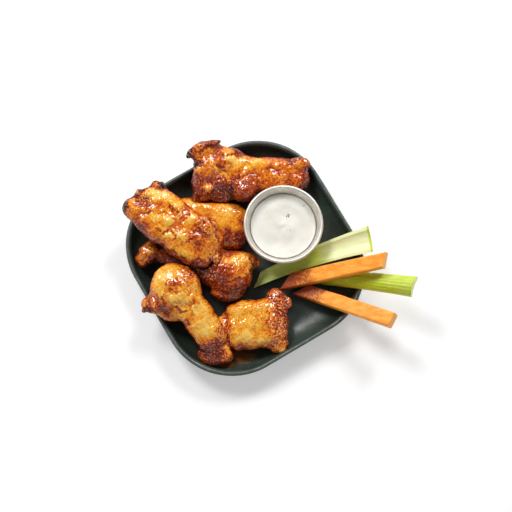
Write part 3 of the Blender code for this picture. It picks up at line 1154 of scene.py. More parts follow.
@dataclass
class GlazedWing(Piece):
    """A wing piece: the frame's solid with swellings melted on, creased, browned and glazed."""

    slot: str = "glazed_skin"
    seed: float = 1.0
    heading: float = 0.0
    brown: float = 0.36
    lumps: tuple[Lump, ...] = ()
    carves: tuple[Lump, ...] = ()
    patches: tuple[Patch, ...] = ()
    folds: tuple[Fold, ...] = ()
    rough: float = 1.0
    heat: Heat = Heat()
    grid: float = 0.58 * MM
    melting: int = 10

    def layers(self) -> tuple[Relief, ...]:
        """List the unevenness of the skin: swellings, blisters, creases across the wing and grit.

        Returns:
            The layers, coarse to fine.
        """
        rough = self.rough
        creases = Relief(
            size=4.5, depth=0.5 * rough, pattern=Pattern.CREASED, detail=1, stretch=2.6,
            heading=self.heading + 80, level=0.35,
        )
        return (
            Relief(size=12, depth=2.6 * rough, detail=1),
            Relief(size=6.5, depth=-0.45 * rough, pattern=Pattern.BLISTERS, level=0.35),
            creases,
            Relief(size=2.4, depth=0.55 * rough, detail=2),
        )

    def build(self) -> None:
        """Melt, crease, fold, paint and glaze the wing."""
        parts = [copy_of_node(self.nodes[0], self.name), *(lump.add() for lump in self.lumps)]
        # Each part is cut on its own: a cut through overlapping forms differs from run to run.
        for part in parts:
            for form in self.carves:
                self.carve(part, form.add())
        piece = pick_up(*parts)
        if self.lumps:
            bpy.ops.object.join()
        melt = piece.modifiers.new("melt", "REMESH")
        melt.mode = "VOXEL"
        melt.voxel_size = self.grid
        smooth = piece.modifiers.new("smooth", "SMOOTH")
        smooth.iterations = self.melting
        press_on(piece)
        for number, layer in enumerate(self.layers()):
            layer.press(piece, self.seed + 0.7 * number)
        self.swell(piece.data)
        shade(piece, 180)
        self.brown_skin(piece.data)
        WingGlaze().lay_on(piece)
        self.settle(piece)

    def carve(self, part: bpy.types.Object, form: bpy.types.Object) -> None:
        """Cut a form out of a part of the wing.

        Args:
            part: The solid or a swelling on it.
            form: The form, which is used up.
        """
        cut = part.modifiers.new("carve", "BOOLEAN")
        cut.operation = "DIFFERENCE"
        cut.object = form
        press_on(part)
        bpy.data.objects.remove(form)

    def places(self, points: np.ndarray) -> tuple[np.ndarray, np.ndarray]:
        """Find each point's place in the slanted layout, shifted so that no patch has a neat edge.

        Args:
            points: The mesh's points.

        Returns:
            Places along the layout's X and Y, in millimetres.
        """
        x = (points[:, 0] * math.cos(SLANT) + points[:, 1] * math.sin(SLANT)) / MM
        y = (points[:, 1] * math.cos(SLANT) - points[:, 0] * math.sin(SLANT)) / MM
        seed = self.seed
        right = 0.9 * np.sin(0.62 * y + 0.25 * x + seed)
        right += 0.5 * np.sin(1.45 * y - 1.1 * x + 2 * seed)
        away = 0.9 * np.sin(0.57 * x - 0.31 * y + 3 * seed)
        away += 0.5 * np.sin(1.6 * x + 1.2 * y + seed)
        return x + right, y + away

    def swell(self, mesh: bpy.types.Mesh) -> None:
        """Raise the patches and folds on the upper side.

        Args:
            mesh: The wing's mesh.
        """
        points = points_of(mesh)
        normals = points_of(mesh, "normal")
        x, y = self.places(points)
        lift = np.zeros(len(points))
        for patch in self.patches:
            if patch.rise:
                lift += patch.rise * patch.over(x, y)
        for fold in self.folds:
            lift += fold.lift(x, y)
        lift *= np.clip(1.6 * normals[:, 2], 0, 1) * MM
        set_points(mesh, points + lift[:, None] * normals)

    def brown_skin(self, mesh: bpy.types.Mesh) -> None:
        """Paint how brown each point is, with painted shade: deep in hollows and on the sides, golden
        on top.

        Args:
            mesh: The wing's mesh.
        """
        heat = self.heat
        points = points_of(mesh)
        normals = points_of(mesh, "normal")
        ends = np.empty(2 * len(mesh.edges), np.int32)
        mesh.edges.foreach_get("vertices", ends)
        ends = ends.reshape(-1, 2)
        far, wide, near = heat.rounds
        upward = spread_out(normals, ends, far)[:, 2]
        broad = ((spread_out(points, ends, wide) - points) * normals).sum(axis=1)
        fine = ((spread_out(points, ends, near) - points) * normals).sum(axis=1)
        x, y = self.places(points)
        # Painted shade: darker on broad outward sides, on the flanks of bumps, in hollows and in
        # creases, mixed with the browning there.
        value = self.brown + heat.flank * np.clip(heat.facing - upward, 0, 1)
        value += heat.steep * np.clip(heat.facing - normals[:, 2], 0, 1)
        value += heat.hollow * np.clip(broad / (heat.broad_mm * MM), *heat.broad_range)
        value += heat.crease * np.clip(fine / (heat.fine_mm * MM), -1, 1)
        value = np.minimum(value, heat.most)
        crust = np.zeros(len(points))
        for patch in self.patches:
            strength = patch.over(x, y)
            value += heat.patch * patch.brown * strength
            crust += patch.crust * strength
        # Painted shadow below each fold's edge, and a painted highlight on it.
        for fold in self.folds:
            value += heat.fold * fold.shadow(x, y)
        slowed = heat.dark + heat.slowed * (value - heat.dark)
        paint(mesh, "browning_and_shade", np.where(value > heat.dark, slowed, value))
        paint(mesh, "crust", np.clip(crust, 0, 1))


def spread_out(values: np.ndarray, ends: np.ndarray, rounds: int) -> np.ndarray:
    """Average what each point of a mesh holds with its neighbours, again and again.

    Args:
        values: Three numbers for each point.
        ends: The two points of each edge.
        rounds: How far the average reaches, in edges.

    Returns:
        The averages.
    """
    count = len(values)
    valence = np.bincount(ends.ravel(), minlength=count)[:, None]
    average = values
    for _ in range(rounds):
        total = np.empty_like(average)
        for axis in range(3):
            total[:, axis] = np.bincount(ends[:, 0], average[ends[:, 1], axis], count)
            total[:, axis] += np.bincount(ends[:, 1], average[ends[:, 0], axis], count)
        average = 0.5 * average + 0.5 * total / np.maximum(valence, 1)
    return average


@dataclass(frozen=True)
class Spots:
    """Where the points of a stick's mesh lie on it.

    share is how far along the stick each one is, zero to one, turn its angle round the section, and
    depth_in its distance from the section's middle, one at the skin.
    """

    share: np.ndarray
    turn: np.ndarray
    depth_in: np.ndarray


@dataclass
class Stick(Piece):
    """A cut vegetable stick from its inner end on the plate to its outer end in the air.

    Sizes are in millimetres in the slanted layout, as in the frame's own design: taper is the inner
    end's share of the section, bow how far the middle stands to the left, roll turns the section,
    and a cut slants an end along the stick.
    """

    inner: tuple[float, float, float] = (0, 0, 0)
    outer: tuple[float, float, float] = (0, 0, 0)
    width: float = 10.0
    depth: float = 10.0
    bow: float = 0.0
    taper: float = 1.0
    roll: float = 0.0
    inner_cut: float = 0.0
    outer_cut: float = 0.0
    corner: int = 14
    around: int = 96
    cuts: int = 110
    end_rings: tuple[float, ...] = (0.04, 0.1, 0.2, 0.25, 0.25)

    def section(self, turn: np.ndarray) -> tuple[np.ndarray, np.ndarray]:
        """Work out the section's outline at each angle: a rectangle with soft corners.

        Args:
            turn: Angles round the section.

        Returns:
            Places across the stick and up, in millimetres.
        """
        across = np.abs(np.cos(turn) / (self.width / 2)) ** self.corner
        up = np.abs(np.sin(turn) / (self.depth / 2)) ** self.corner
        reach = (across + up) ** (-1 / self.corner)
        return reach * np.cos(turn), reach * np.sin(turn)

    def shape(self) -> bpy.types.Object:
        """Cut a cylinder into many stations and lay them along the stick.

        Returns:
            The stick, painted for its material.
        """
        put_down()
        bpy.ops.mesh.primitive_cylinder_add(
            vertices=self.around, radius=1, depth=1, end_fill_type="NGON"
        )
        piece = new_piece(self.name)
        open_up(piece)
        mesh = bmesh.from_edit_mesh(piece.data)
        for edge in mesh.edges:
            ends = edge.verts
            edge.select_set(abs(ends[0].co.z - ends[1].co.z) > 0.5)
        bmesh.update_edit_mesh(piece.data)
        bpy.ops.mesh.subdivide(number_cuts=self.cuts)
        bpy.ops.mesh.select_all(action="DESELECT")
        mesh = bmesh.from_edit_mesh(piece.data)
        for face in mesh.faces:
            face.select_set(len(face.verts) > 4)
        bmesh.update_edit_mesh(piece.data)
        for thickness in self.end_rings:
            bpy.ops.mesh.inset(thickness=thickness)
        close_up()
        x, y, z = points_of(piece.data).T
        spots = Spots(share=z + 0.5, turn=np.arctan2(y, x), depth_in=np.hypot(x, y))
        set_points(piece.data, self.placed(spots))
        self.mark(piece.data, spots)
        return piece

    def placed(self, spots: Spots) -> np.ndarray:
        """Lay points of the cylinder along the stick.

        Args:
            spots: Where they lie on it.

        Returns:
            The points in the frame.
        """
        start, end = laid(*self.inner), laid(*self.outer)
        along = (end - start).normalized()
        across = Vector((0, 0, 1)).cross(along).normalized()
        up = along.cross(across)
        roll = Matrix.Rotation(math.radians(self.roll), 3, along)
        left, top = np.array(roll @ across), np.array(roll @ up)
        y, z = self.section(spots.turn)
        share = spots.share
        scale = (self.taper + (1 - self.taper) * share**1.3) * spots.depth_in * MM
        slant = self.inner_cut * (1 - share) ** 3 + self.outer_cut * share**3
        bow = 4 * self.bow * share * (1 - share) * MM
        centre = np.array(start) + share[:, None] * np.array(end - start)
        centre += bow[:, None] * np.array(across)
        section = (y * scale)[:, None] * left + (z * scale)[:, None] * top
        return centre + section + (slant * y * scale)[:, None] * np.array(along)

    def mark(self, mesh: bpy.types.Mesh, spots: Spots) -> None:
        """Paint the cut ends."""
        ends = (spots.share < 0.0001) | (spots.share > 0.9999)
        paint(mesh, "cut", np.where(ends & (spots.depth_in < 0.97), 1.0, 0.0))


@dataclass
class CarrotStick(Stick):
    """A carrot stick with knife-flat sides, stained with glaze and painted with shade up to some
    share of its length.
    """

    slot: str = "carrot"
    stained: float = 0.3

    def mark(self, mesh: bpy.types.Mesh, spots: Spots) -> None:
        """Paint the cut ends, and the glaze stain with painted shade.

        Args:
            mesh: The stick's mesh.
            spots: Where its points lie on it.
        """
        super().mark(mesh, spots)
        # The glaze stain toward the inner end, painted darker also as the shade there.
        edge = self.stained + 0.03 * np.sin(3 * spots.turn + 1)
        within = np.clip((edge - spots.share) * 14 + 0.4, 0, 1)
        paint(mesh, "stain_and_shade", 0.08 + within * (0.95 - 0.5 * spots.share / self.stained))

    def build(self) -> None:
        """Shape the stick, roughen its cut faces and colour it."""
        piece = self.shape()
        bends = Relief(size=9, depth=0.7, detail=1, stretch=4, heading=-5)
        bends.press(piece, self.width + self.bow)
        Relief(size=2.0, depth=0.22, detail=2).press(piece, 2.0)
        shade(piece, 50)
        CarrotFlesh().lay_on(piece)
        self.settle(piece)


@dataclass
class CeleryStick(Stick):
    """A celery stick: a ribbed back and a shallow hollow."""

    slot: str = "celery"
    ribs: int = 9
    rib_height: float = 0.15
    floor_half: float = 0.82  # the hollow's share of the width

    def section(self, turn: np.ndarray) -> tuple[np.ndarray, np.ndarray]:
        """Work out the crescent: the ribbed back below, the hollow above.

        Args:
            turn: Angles round the section.

        Returns:
            Places across the stick and up, in millimetres.
        """
        half = self.width / 2
        lower = np.sin(turn) < 0
        rib = self.rib_height * np.cos(2 * self.ribs * turn) * np.clip(-np.sin(turn) * 3, 0, 1)
        x = (half + rib) * np.cos(turn)
        back = self.depth * 0.45 + (self.depth + rib) * np.sin(turn)
        inner = np.clip(np.abs(x) / (self.floor_half * half), 0, 0.88)
        front = self.depth * (0.72 - 0.55 * np.sqrt(1 - inner**2))
        return x, np.where(lower, back, front)

    def mark(self, mesh: bpy.types.Mesh, spots: Spots) -> None:
        """Paint the cut ends, the pale hollow with painted shade and a painted highlight along it,
        and the pale crests of the ribs.

        Args:
            mesh: The stick's mesh.
            spots: Where its points lie on it.
        """
        super().mark(mesh, spots)
        share, turn = spots.share, spots.turn
        crest = 0.5 + 0.5 * np.cos(2 * self.ribs * turn)
        back = -0.12 + 0.14 * crest + 0.2 * share**3
        # The hollow's paleness along the stick: the painted shadow of the cup darkens the middle, a
        # painted highlight lightens the inner end, and the outer half is pale flesh.
        hollow = 0.14 + 0.22 * np.exp(-((share / 0.22) ** 2))
        hollow += 0.66 * np.clip((share - 0.52) * 6, 0, 1)
        pale = np.where(np.sin(turn) < 0, back, hollow)
        paint(mesh, "pale", pale - 0.9 * (share > 0.985))

    def build(self) -> None:
        """Shape the stick and colour it."""
        piece = self.shape()
        bends = Relief(size=6, depth=0.35, detail=1, stretch=5, heading=10)
        bends.press(piece, self.depth + self.bow)
        shade(piece, 50)
        CeleryFlesh().lay_on(piece)
        self.settle(piece)


@dataclass(frozen=True)
class SoftBox:
    """A soft square light: its place round the serving, its size in metres and its watts."""

    name: str
    heading: float
    elevation: float
    distance: float
    size: float
    power: float


@dataclass
class Studio:
    """The camera, the lights and the floor. Lengths are in metres and angles in degrees."""

    target: Place = (8.7, 3.6)
    distance: float = 0.986
    elevation: float = 80.0
    lens: float = 85.0
    window: SoftBox = SoftBox("window", 128, 48, distance=1.3, size=0.38, power=10.5)
    lamp: SoftBox = SoftBox("lamp", 66, 44, distance=1.2, size=0.3, power=7.5)
    cards: tuple[SoftBox, ...] = tuple(
        SoftBox("card", heading, 28, distance=1.5, size=0.9, power=2.2)
        for heading in (-160, -80, -10, 95)
    )
    sky: float = 0.19
    floor_size: float = 6.0
    floor_top: float = -0.0002

    def around(self, heading: float, elevation: float, distance: float) -> Vector:
        """Find a point round the serving.

        Args:
            heading: Its heading in the slanted layout.
            elevation: Its angle above the table.
            distance: How far it is from the serving.

        Returns:
            The point in the frame.
        """
        flat = math.cos(math.radians(elevation)) * distance / MM
        turn = math.radians(heading)
        up = math.sin(math.radians(elevation)) * distance / MM
        x, y = self.target
        return laid(x + flat * math.cos(turn), y + flat * math.sin(turn), up)

    def aim(self, obj: bpy.types.Object, place: Vector) -> None:
        """Put a camera or light somewhere, looking at the serving.

        Args:
            obj: The camera or light.
            place: Where it goes.
        """
        obj.location = place
        obj.rotation_euler = (laid(*self.target) - place).to_track_quat("-Z", "Y").to_euler()
        bpy.context.scene.collection.objects.link(obj)

    def hang(self, box: SoftBox) -> None:
        """Hang a soft square light.

        Args:
            box: The light.
        """
        lamp = bpy.data.lights.new(box.name, "AREA")
        lamp.size = box.size
        lamp.energy = box.power
        place = self.around(box.heading, box.elevation, box.distance)
        self.aim(bpy.data.objects.new(box.name, lamp), place)

    def build(self) -> None:
        """Set up the camera, the lights, the sky and the floor."""
        scene = bpy.context.scene
        camera = bpy.data.cameras.new("camera")
        camera.lens = self.lens
        camera.clip_start = 0.01
        holder = bpy.data.objects.new("camera", camera)
        self.aim(holder, self.around(-90, self.elevation, self.distance))
        scene.camera = holder
        for box in (self.window, self.lamp, *self.cards):
            self.hang(box)
        scene.world = bpy.data.worlds.new("studio")
        scene.world.use_nodes = True
        background = scene.world.node_tree.nodes["Background"]
        background.inputs["Color"].default_value = (1, 1, 1, 1)
        background.inputs["Strength"].default_value = self.sky
        scene.view_settings.view_transform = "Standard"
        put_down()
        bpy.ops.mesh.primitive_plane_add(size=self.floor_size, location=(0, 0, self.floor_top))
        floor = new_piece("studio_floor")
        StudioPaper().lay_on(floor)


def upper_side(name: str) -> BVHTree:
    """Prepare a finished piece's surface for dropping things onto it.

    Args:
        name: The piece's name.

    Returns:
        The surface.
    """
    mesh = bpy.data.objects[name].data
    points = [point.co for point in mesh.vertices]
    return BVHTree.FromPolygons(points, [face.vertices for face in mesh.polygons])


def dropped(tree: BVHTree, x: float, y: float) -> tuple[Vector | None, Vector | None]:
    """Drop a place of the slanted layout onto a surface, and read the surface's normal there."""
    spot, normal, _, _ = tree.ray_cast(laid(x, y, 90), Vector((0, 0, -1)))
    return spot, normal


@dataclass
class Flecks(Piece):
    """Dry flecks scattered on another piece, in millimetres in the slanted layout."""

    nodes: tuple[str, ...] = ()
    slot: str = "glazed_skin"
    host: str = ""
    middle: Place = (0, 0)
    radii: Place = (8, 8)
    count: int = 20
    size: float = 0.4
    seed: int = 1
    steepest: float = 0.3

    def build(self) -> None:
        """Drop flat little grains at seeded places, as one mesh."""
        chance = random.Random(self.seed)
        tree = upper_side(self.host)
        grains = []
        for _ in range(self.count):
            turn, far = chance.uniform(0, 2 * math.pi), math.sqrt(chance.random())
            x = self.middle[0] + self.radii[0] * far * math.cos(turn)
            y = self.middle[1] + self.radii[1] * far * math.sin(turn)
            spot, normal = dropped(tree, x, y)
            size = self.size * chance.uniform(0.55, 1.5) * MM
            shape = (1.0, chance.uniform(0.45, 0.9), 0.3)
            if spot is None or normal.z < self.steepest:
                continue
            flat = normal.to_track_quat("Z", "Y").to_matrix()
            rest = Matrix.Rotation(chance.uniform(0, 6.3), 3, normal) @ flat
            put_down()
            bpy.ops.mesh.primitive_ico_sphere_add(
                subdivisions=1, radius=size, location=spot, rotation=rest.to_euler(), scale=shape
            )
            grains.append(new_piece(self.name))
        piece = pick_up(*grains)
        bpy.ops.object.join()
        piece.name = self.name
        Seasoning().lay_on(piece)
        self.settle(piece)


@dataclass
class GlazePool(Piece):
    """Glaze run off onto the plate, in millimetres in the slanted layout."""

    name: str = "glaze_pool"
    nodes: tuple[str, ...] = ()
    slot: str = "glazed_skin"
    host: str = "plate_glazed"
    middle: Place = (-13, -80)
    radii: Place = (20, 8)
    thickness: float = 0.5
    underside: float = 0.1
    clear: float = 0.02

    def build(self) -> None:
        """Flatten a ball onto the plate, with an uneven edge."""
        tree = upper_side(self.host)
        put_down()
        bpy.ops.mesh.primitive_uv_sphere_add(segments=96, ring_count=32, radius=1)
        piece = new_piece(self.name)
        points = points_of(piece.data)
        turn = np.arctan2(points[:, 1], points[:, 0])
        uneven = 1 + 0.14 * np.sin(3 * turn + 1) + 0.08 * np.sin(7 * turn)
        uneven += 0.04 * np.sin(13 * turn + 2)
        paint(piece.data, "thick", np.clip(1.2 * np.abs(points[:, 2]), 0, 1))
        right = self.middle[0] + self.radii[0] * uneven * points[:, 0]
        away = self.middle[1] + self.radii[1] * uneven * points[:, 1]
        for index, height in enumerate(points[:, 2]):
            spot, _ = dropped(tree, right[index], away[index])
            lift = height * (self.thickness if height > 0 else self.underside)
            points[index] = spot + Vector((0, 0, (lift + self.clear) * MM))
        set_points(piece.data, points)
        shade(piece, 180)
        PooledGlaze().lay_on(piece)
        self.settle(piece)


# ---------------------------------------------------------------- the serving

STICKS: tuple[Stick, ...] = (
    CeleryStick(
        name="celery_hollow", nodes=("celery_hollow_up",),
        inner=(10, -17.7, 8.3), outer=(100, 11.8, 28.8),
        width=21, depth=9, bow=2.3, taper=0.5, inner_cut=0.9, outer_cut=0.16,
    ),
    CeleryStick(
        name="celery_back", nodes=("celery_back_up",),
        inner=(48, -13.7, 8.4), outer=(131.5, -27.5, 41.6),
        width=16.5, depth=8, bow=0.8, taper=0.72, roll=180, outer_cut=-0.19,
    ),
    CarrotStick(
        name="carrot_upper", nodes=("carrot_top",),
        inner=(34, -20, 16), outer=(109.5, -7.2, 42.5),
        width=11.5, depth=11, inner_cut=1.0, outer_cut=0.4, stained=0.3,
    ),
    CarrotStick(
        name="carrot_lower", nodes=("carrot_low",),
        inner=(46.5, -26.8, 11.6), outer=(114.6, -54.4, 40.8),
        width=11.5, depth=10, taper=0.95, inner_cut=1.0, outer_cut=0.1, stained=0.26,
    ),
)

WINGS: tuple[GlazedWing, ...] = (
    GlazedWing(
        name="wing_back_glazed", nodes=("wing_back",), seed=1, heading=-3, brown=0.47,
        lumps=(
            Lump((-31, 87, 38), (24, 4.5, 5), heading=14),
            Lump((-44.5, 80.5, 35.5), (5, 9, 6), heading=-20),
            Lump((-28.5, 53, 30), (7, 6.5, 7)),
            Lump((-37.5, 55, 24), (9, 20, 12)),
            Lump((-38.5, 46, 25), (8, 8, 8)),
            Lump((-20, 73.5, 37.5), (7, 6.5, 5)),
            Lump((0, 51.5, 30), (17, 16, 16)),
        ),
        patches=(
            # painted highlight along the flap's ridge
            Patch((-31, 87), (11, 1.8), heading=17, rise=0.9, crust=0.4),
            Patch((-27, 86.5), (8, 2), brown=0.15, heading=12),
            Patch((-26, 90.5), (8, 1.6), brown=0.35, heading=8),
            Patch((-19.5, 90.5), (1.8, 2), brown=0.45),
            Patch((-45, 80.5), (2.5, 5), brown=0.9),
            Patch((-30, 80), (9, 2.5), brown=-0.12, heading=12),
            Patch((-37, 83), (4, 5), brown=0.04),
            Patch((-41, 75.5), (2.5, 6), brown=0.35),
            Patch((-13.5, 82.5), (4.5, 3), brown=-0.12, rise=0.6),
            Patch((-7.5, 82), (1.6, 3.5), brown=0.4),
            Patch((-13, 78.3), (5, 1), brown=0.3, rise=-0.4),
            Patch((-2, 80), (6, 1.4), brown=0.25, crust=0.4),
            Patch((-11, 75), (5, 2.6), brown=-0.36, rise=0.5),
            Patch((-20, 73.5), (3.2, 3), brown=0.12, rise=0.8),
            Patch((-20.5, 69.5), (1.8, 1.4), brown=0.35, rise=-0.5),
            Patch((-16.5, 68.5), (1.3, 1.3), brown=0.25, rise=-0.4),
            Patch((-24, 69.5), (3.5, 3), brown=-0.16, rise=0.6),
            Patch((-10, 69), (5.5, 3), brown=-0.12, rise=0.4),
            Patch((-18, 63), (4, 1.5), brown=-0.3, heading=-25, rise=0.4),
            Patch((6, 72.5), (11, 6), brown=-0.22, heading=-8, rise=0.5),
            Patch((9, 74.5), (5, 2.5), brown=-0.12),
            Patch((26.5, 65.5), (3, 3), brown=0.16, rise=-0.5),
            Patch((24, 68), (9, 5), brown=0.06),
            Patch((38, 76), (7, 2.6), brown=0.26, crust=0.3),
            Patch((50, 66.5), (4, 9), brown=0.2),
            Patch((54, 69.5), (1.8, 6), brown=0.4),
            Patch((48, 54.5), (4, 5), brown=0.35),
            # painted shade in the sunk recess beside the flap
            Patch((-39, 71.5), (4.5, 2.5), brown=0.5, rise=-1.2),
            Patch((-38, 66), (3.5, 1.8), brown=-0.45, heading=10),
            Patch((-37, 55.5), (4.5, 9), brown=0.38, rise=0.8, crust=0.2),
            Patch((-38.5, 45.5), (3.5, 3.5), brown=0.1, rise=0.8, crust=0.4),
            Patch((-28.5, 53), (6, 5.6), brown=0.45),
            Patch((-28.5, 53), (4.2, 4.0), brown=-0.62, rise=1.2, crust=0.6),
            Patch((-17, 51.5), (8, 7), brown=0.38, crust=0.3),
            Patch((0, 51.5), (9, 8.5), brown=0.30, rise=1.5),
            # painted highlight along the round lobe's upper edge
            Patch((-5, 58), (6, 1.4), brown=-0.15, heading=25, crust=0.6),
            Patch((15, 53.5), (6, 4), brown=0.12),
        ),
        folds=(
            Fold(((-42, 80.5), (-34, 83.5), (-27, 85.5), (-20, 86.5))),
            Fold(((46, 75.5), (39, 73), (33, 71)), rise=0.5),
            Fold(((9, 62.5), (0, 61.5), (-8, 57.5), (-10.5, 50.5), (-8, 44.5)), rise=0.9, reach=5),
            Fold(((8, 43.5), (9, 51.5), (8.5, 59.5)), rise=0.6),
            Fold(((-33, 75.5), (-30, 69.5), (-24, 63.5), (-14, 58.5), (-6, 59.5)), rise=-0.7),
            Fold(((-15, 78.5), (-18, 75.5), (-16, 71.5), (-12, 70.5)), rise=0.5, reach=3, dark=0.2),
        ),
    ),
    GlazedWing(
        name="wing_left_glazed", nodes=("wing_left",), seed=12, heading=-35, brown=0.38,
        lumps=(
            Lump((-88, 34.5, 40), (13, 12, 12)),
            Lump((-70, 52, 41.5), (8.5, 9, 10)),
            Lump((-31, 19.5, 46.5), (17, 9, 3), heading=-62),
            Lump((-22.5, -3.5, 33), (9, 11, 12)),
        ),
        carves=(
            Lump((-80.5, 55.5, 40), (14, 12, 40), heading=20),
            Lump((-58.5, 57.5, 40), (9, 14, 40), heading=-40),
            Lump((-91, 49.5, 40), (6.5, 6, 40), heading=30),
            Lump((-79.5, 56, 40), (6, 6.5, 40)),
        ),
        patches=(
            Patch((-87, 36), (5, 4.5), brown=0.02),
            Patch((-95, 34), (2.4, 8), brown=1.0, heading=-8),
            Patch((-89.5, 43.5), (5.5, 1.8), brown=0.9, heading=5),
            Patch((-69, 54.5), (6.5, 5), brown=1.25, rise=0.6),
            Patch((-69.5, 53), (3, 2.6), brown=-0.95, crust=0.7),
            Patch((-81, 49.5), (2.6, 2.2), brown=0.8),
            Patch((-80, 40), (5.5, 6.5), brown=0.2, crust=1.0),
            Patch((-68, 45.5), (7, 4), brown=-0.42, heading=-25),
            Patch((-56, 38.5), (8, 3.5), brown=-0.2, heading=-35),
            Patch((-72, 35), (7, 2.5), brown=0.16, heading=-8),
            Patch((-87, 27), (5, 4), brown=0.1, heading=-50),
            Patch((-81, 22), (5, 6), brown=0.08, heading=-45),
            Patch((-71, 25.5), (5, 3), brown=-0.25, heading=-10, rise=0.5),
            Patch((-59.5, 23), (3.2, 4), brown=-0.25, rise=0.4),
            # painted highlight on the fold's ridge
            Patch((-51.5, 28.5), (1.3, 5), brown=-0.15, rise=0.7, crust=0.7),
            Patch((-57.5, 33), (2.5, 2), brown=0.24, rise=-0.4),
            Patch((-46, 32), (2.5, 4), brown=0.22),
            Patch((-41.5, 23.5), (3.5, 4), brown=-0.2),
            Patch((-31, 20), (8, 4.5), brown=0.16, heading=-62, rise=0.6, crust=1.0),
            Patch((-66, 17), (5, 1.8), brown=-0.15, rise=0.5),
            Patch((-60, 11.5), (4, 2.2), brown=-0.3, rise=0.7),
            Patch((-49.5, 11), (3.5, 3.5), brown=-0.25, rise=0.8),
            Patch((-37, 11), (9, 5), brown=0.2, heading=-15, crust=0.3),
            Patch((-39, 6), (4, 3.5), brown=0.08, rise=-0.4),
            Patch((-47.5, -1), (3, 2.5), brown=-0.25, rise=0.4),
            Patch((-30, 3), (4, 5), brown=-0.05),
            Patch((-22, -5), (4.5, 5), brown=0.15, crust=1.0),
            Patch((-33, -10), (8, 3.5), brown=0.4, heading=-10, crust=0.3),
            Patch((-81, 19), (5, 4), brown=0.35),
        ),
        folds=(
            Fold(((-52.5, 35), (-51.5, 29), (-51, 23.5)), reach=3),
            Fold(((-43, 35), (-42, 30), (-45, 25), (-49, 21.5)), rise=0.6, reach=3, dark=0.35),
            Fold(((-20.5, 3), (-22, 10), (-25, 19), (-29, 27.8), (-38, 27.5)), rise=0.7, dark=0.4),
            Fold(((-72, 18), (-64, 15.5), (-57, 16.5)), dark=0.25),
            Fold(((-57, 16), (-54, 12), (-54, 7)), dark=0.25),
            Fold(((-66, 32), (-60, 29), (-56, 26)), rise=0.5, dark=0.2),
            Fold(((-68, 8), (-60, 2.5), (-52, -2.5), (-45, -7), (-36, -10)), rise=0.9, dark=0.4),
            Fold(((-84, 32), (-80, 30), (-74, 31), (-68, 29)), rise=0.6, dark=0.3),
        ),
    ),
    GlazedWing(
        name="wing_under_glazed", nodes=("wing_under",), seed=23, heading=-8, brown=0.34, rough=0.5,
        patches=(
            Patch((-20, 33), (12, 5), brown=-0.1, heading=-10),
            Patch((-2, 28), (2.5, 5), brown=0.25, crust=0.5),
            # darker lower part: browning, with the painted shadow of the wings that lie over it
            Patch((-8, 14), (12, 5), brown=0.55, heading=-12, crust=0.2),
            Patch((-32, 37), (8, 2), brown=0.1, heading=-5),
        ),
    ),
    GlazedWing(
        name="drumette_glazed", nodes=("drumette",), seed=34, heading=-16, brown=0.50,
        lumps=(
            Lump((-80, 5, 20), (11, 9, 11)),
            Lump((-81.5, -5, 18), (9, 8, 9)),
            Lump((9.5, -6, 21), (6, 7, 6)),
            Lump((-14, -27, 18), (28, 20, 20)),
        ),
        patches=(
            Patch((-78, 5), (6, 4), brown=-0.12, crust=0.9),
            Patch((-81, -6), (5, 3), brown=-0.04, crust=0.3),
            Patch((-72, -3), (6, 4), brown=0.38),
            Patch((-55, -6), (12, 7), brown=0.42),
            Patch((-7, -4), (10, 7), brown=-0.2, rise=0.4, crust=0.3),
            Patch((-4, -5), (4.5, 4), brown=-0.06),
            Patch((-15, 2), (9, 6), brown=0.2),
            Patch((8, -12), (4, 11), brown=-0.05, heading=-5, crust=0.3),
            Patch((-18, -18), (8, 6), brown=0.14),
            Patch((-8, -32), (14, 7), brown=0.36, heading=8, crust=0.2),
            Patch((-34, -13), (12, 8), brown=0.45, crust=0.8),
            # two painted glints
            Patch((3, -14), (1.5, 2.5), brown=-0.2, crust=1.0),
            Patch((-7, -13), (3, 1.2), brown=-0.15, heading=25, crust=0.8),
        ),
        folds=(
            Fold(((4, -20), (5, -10), (3, -1)), rise=0.7),
            Fold(((-24, -20), (-14, -22), (-4, -20), (4, -17)), rise=0.6, dark=0.2),
        ),
    ),
    GlazedWing(
        name="wing_front_glazed", nodes=("wing_front",), seed=45, heading=-52, brown=0.31,
        lumps=(
            Lump((-79.5, -45, 27), (5, 4, 4)),
            Lump((-70, -39, 33), (9, 14, 5), heading=10),
            Lump((-20, -78, 16), (22, 15, 14), heading=-12),
            Lump((-28, -80, 15), (20, 14, 14), heading=-30),
        ),
        patches=(
            Patch((-67, -21.2), (4.5, 9), brown=-0.22, heading=15),
            Patch((-56, -26.2), (5.5, 3), brown=0.28, heading=-5, rise=0.6),
            Patch((-50, -23.2), (5, 3), brown=0.1, crust=0.3),
            Patch((-45, -16.2), (7, 3), brown=0.18, heading=-30, crust=0.6),
            Patch((-35, -27.2), (8, 5), brown=-0.15, heading=-50, crust=0.3),
            # painted highlight
            Patch((-62.5, -33.7), (3.5, 2), brown=-0.1, crust=1.0),
            Patch((-50, -36.2), (10, 3.5), brown=-0.22, rise=0.9),
            Patch((-40, -39.2), (4, 2.5), brown=0.14),
            Patch((-72, -39), (6, 7), brown=0.24, rise=0.5, crust=0.5),
            Patch((-62, -46.2), (6, 3.5), brown=0.42, heading=-45),
            Patch((-79, -45), (3.5, 3), brown=0.5),
            Patch((-56, -49.2), (7, 3.5), brown=-0.08, rise=0.5),
            Patch((-53, -53.2), (6, 1.4), brown=-0.25),
            Patch((-44, -54.2), (1.9, 1.7), brown=0.55),
            Patch((-35, -45.2), (5, 6), brown=-0.30, rise=0.4),
            Patch((-30, -61.2), (8, 7), brown=-0.22, heading=-45),
            Patch((-25, -78.2), (12, 9), brown=0.55, heading=-30, crust=0.4),
            Patch((-15, -74.2), (3, 2.2), brown=-0.35),
            # painted shade and painted glints in the crease against the right wing
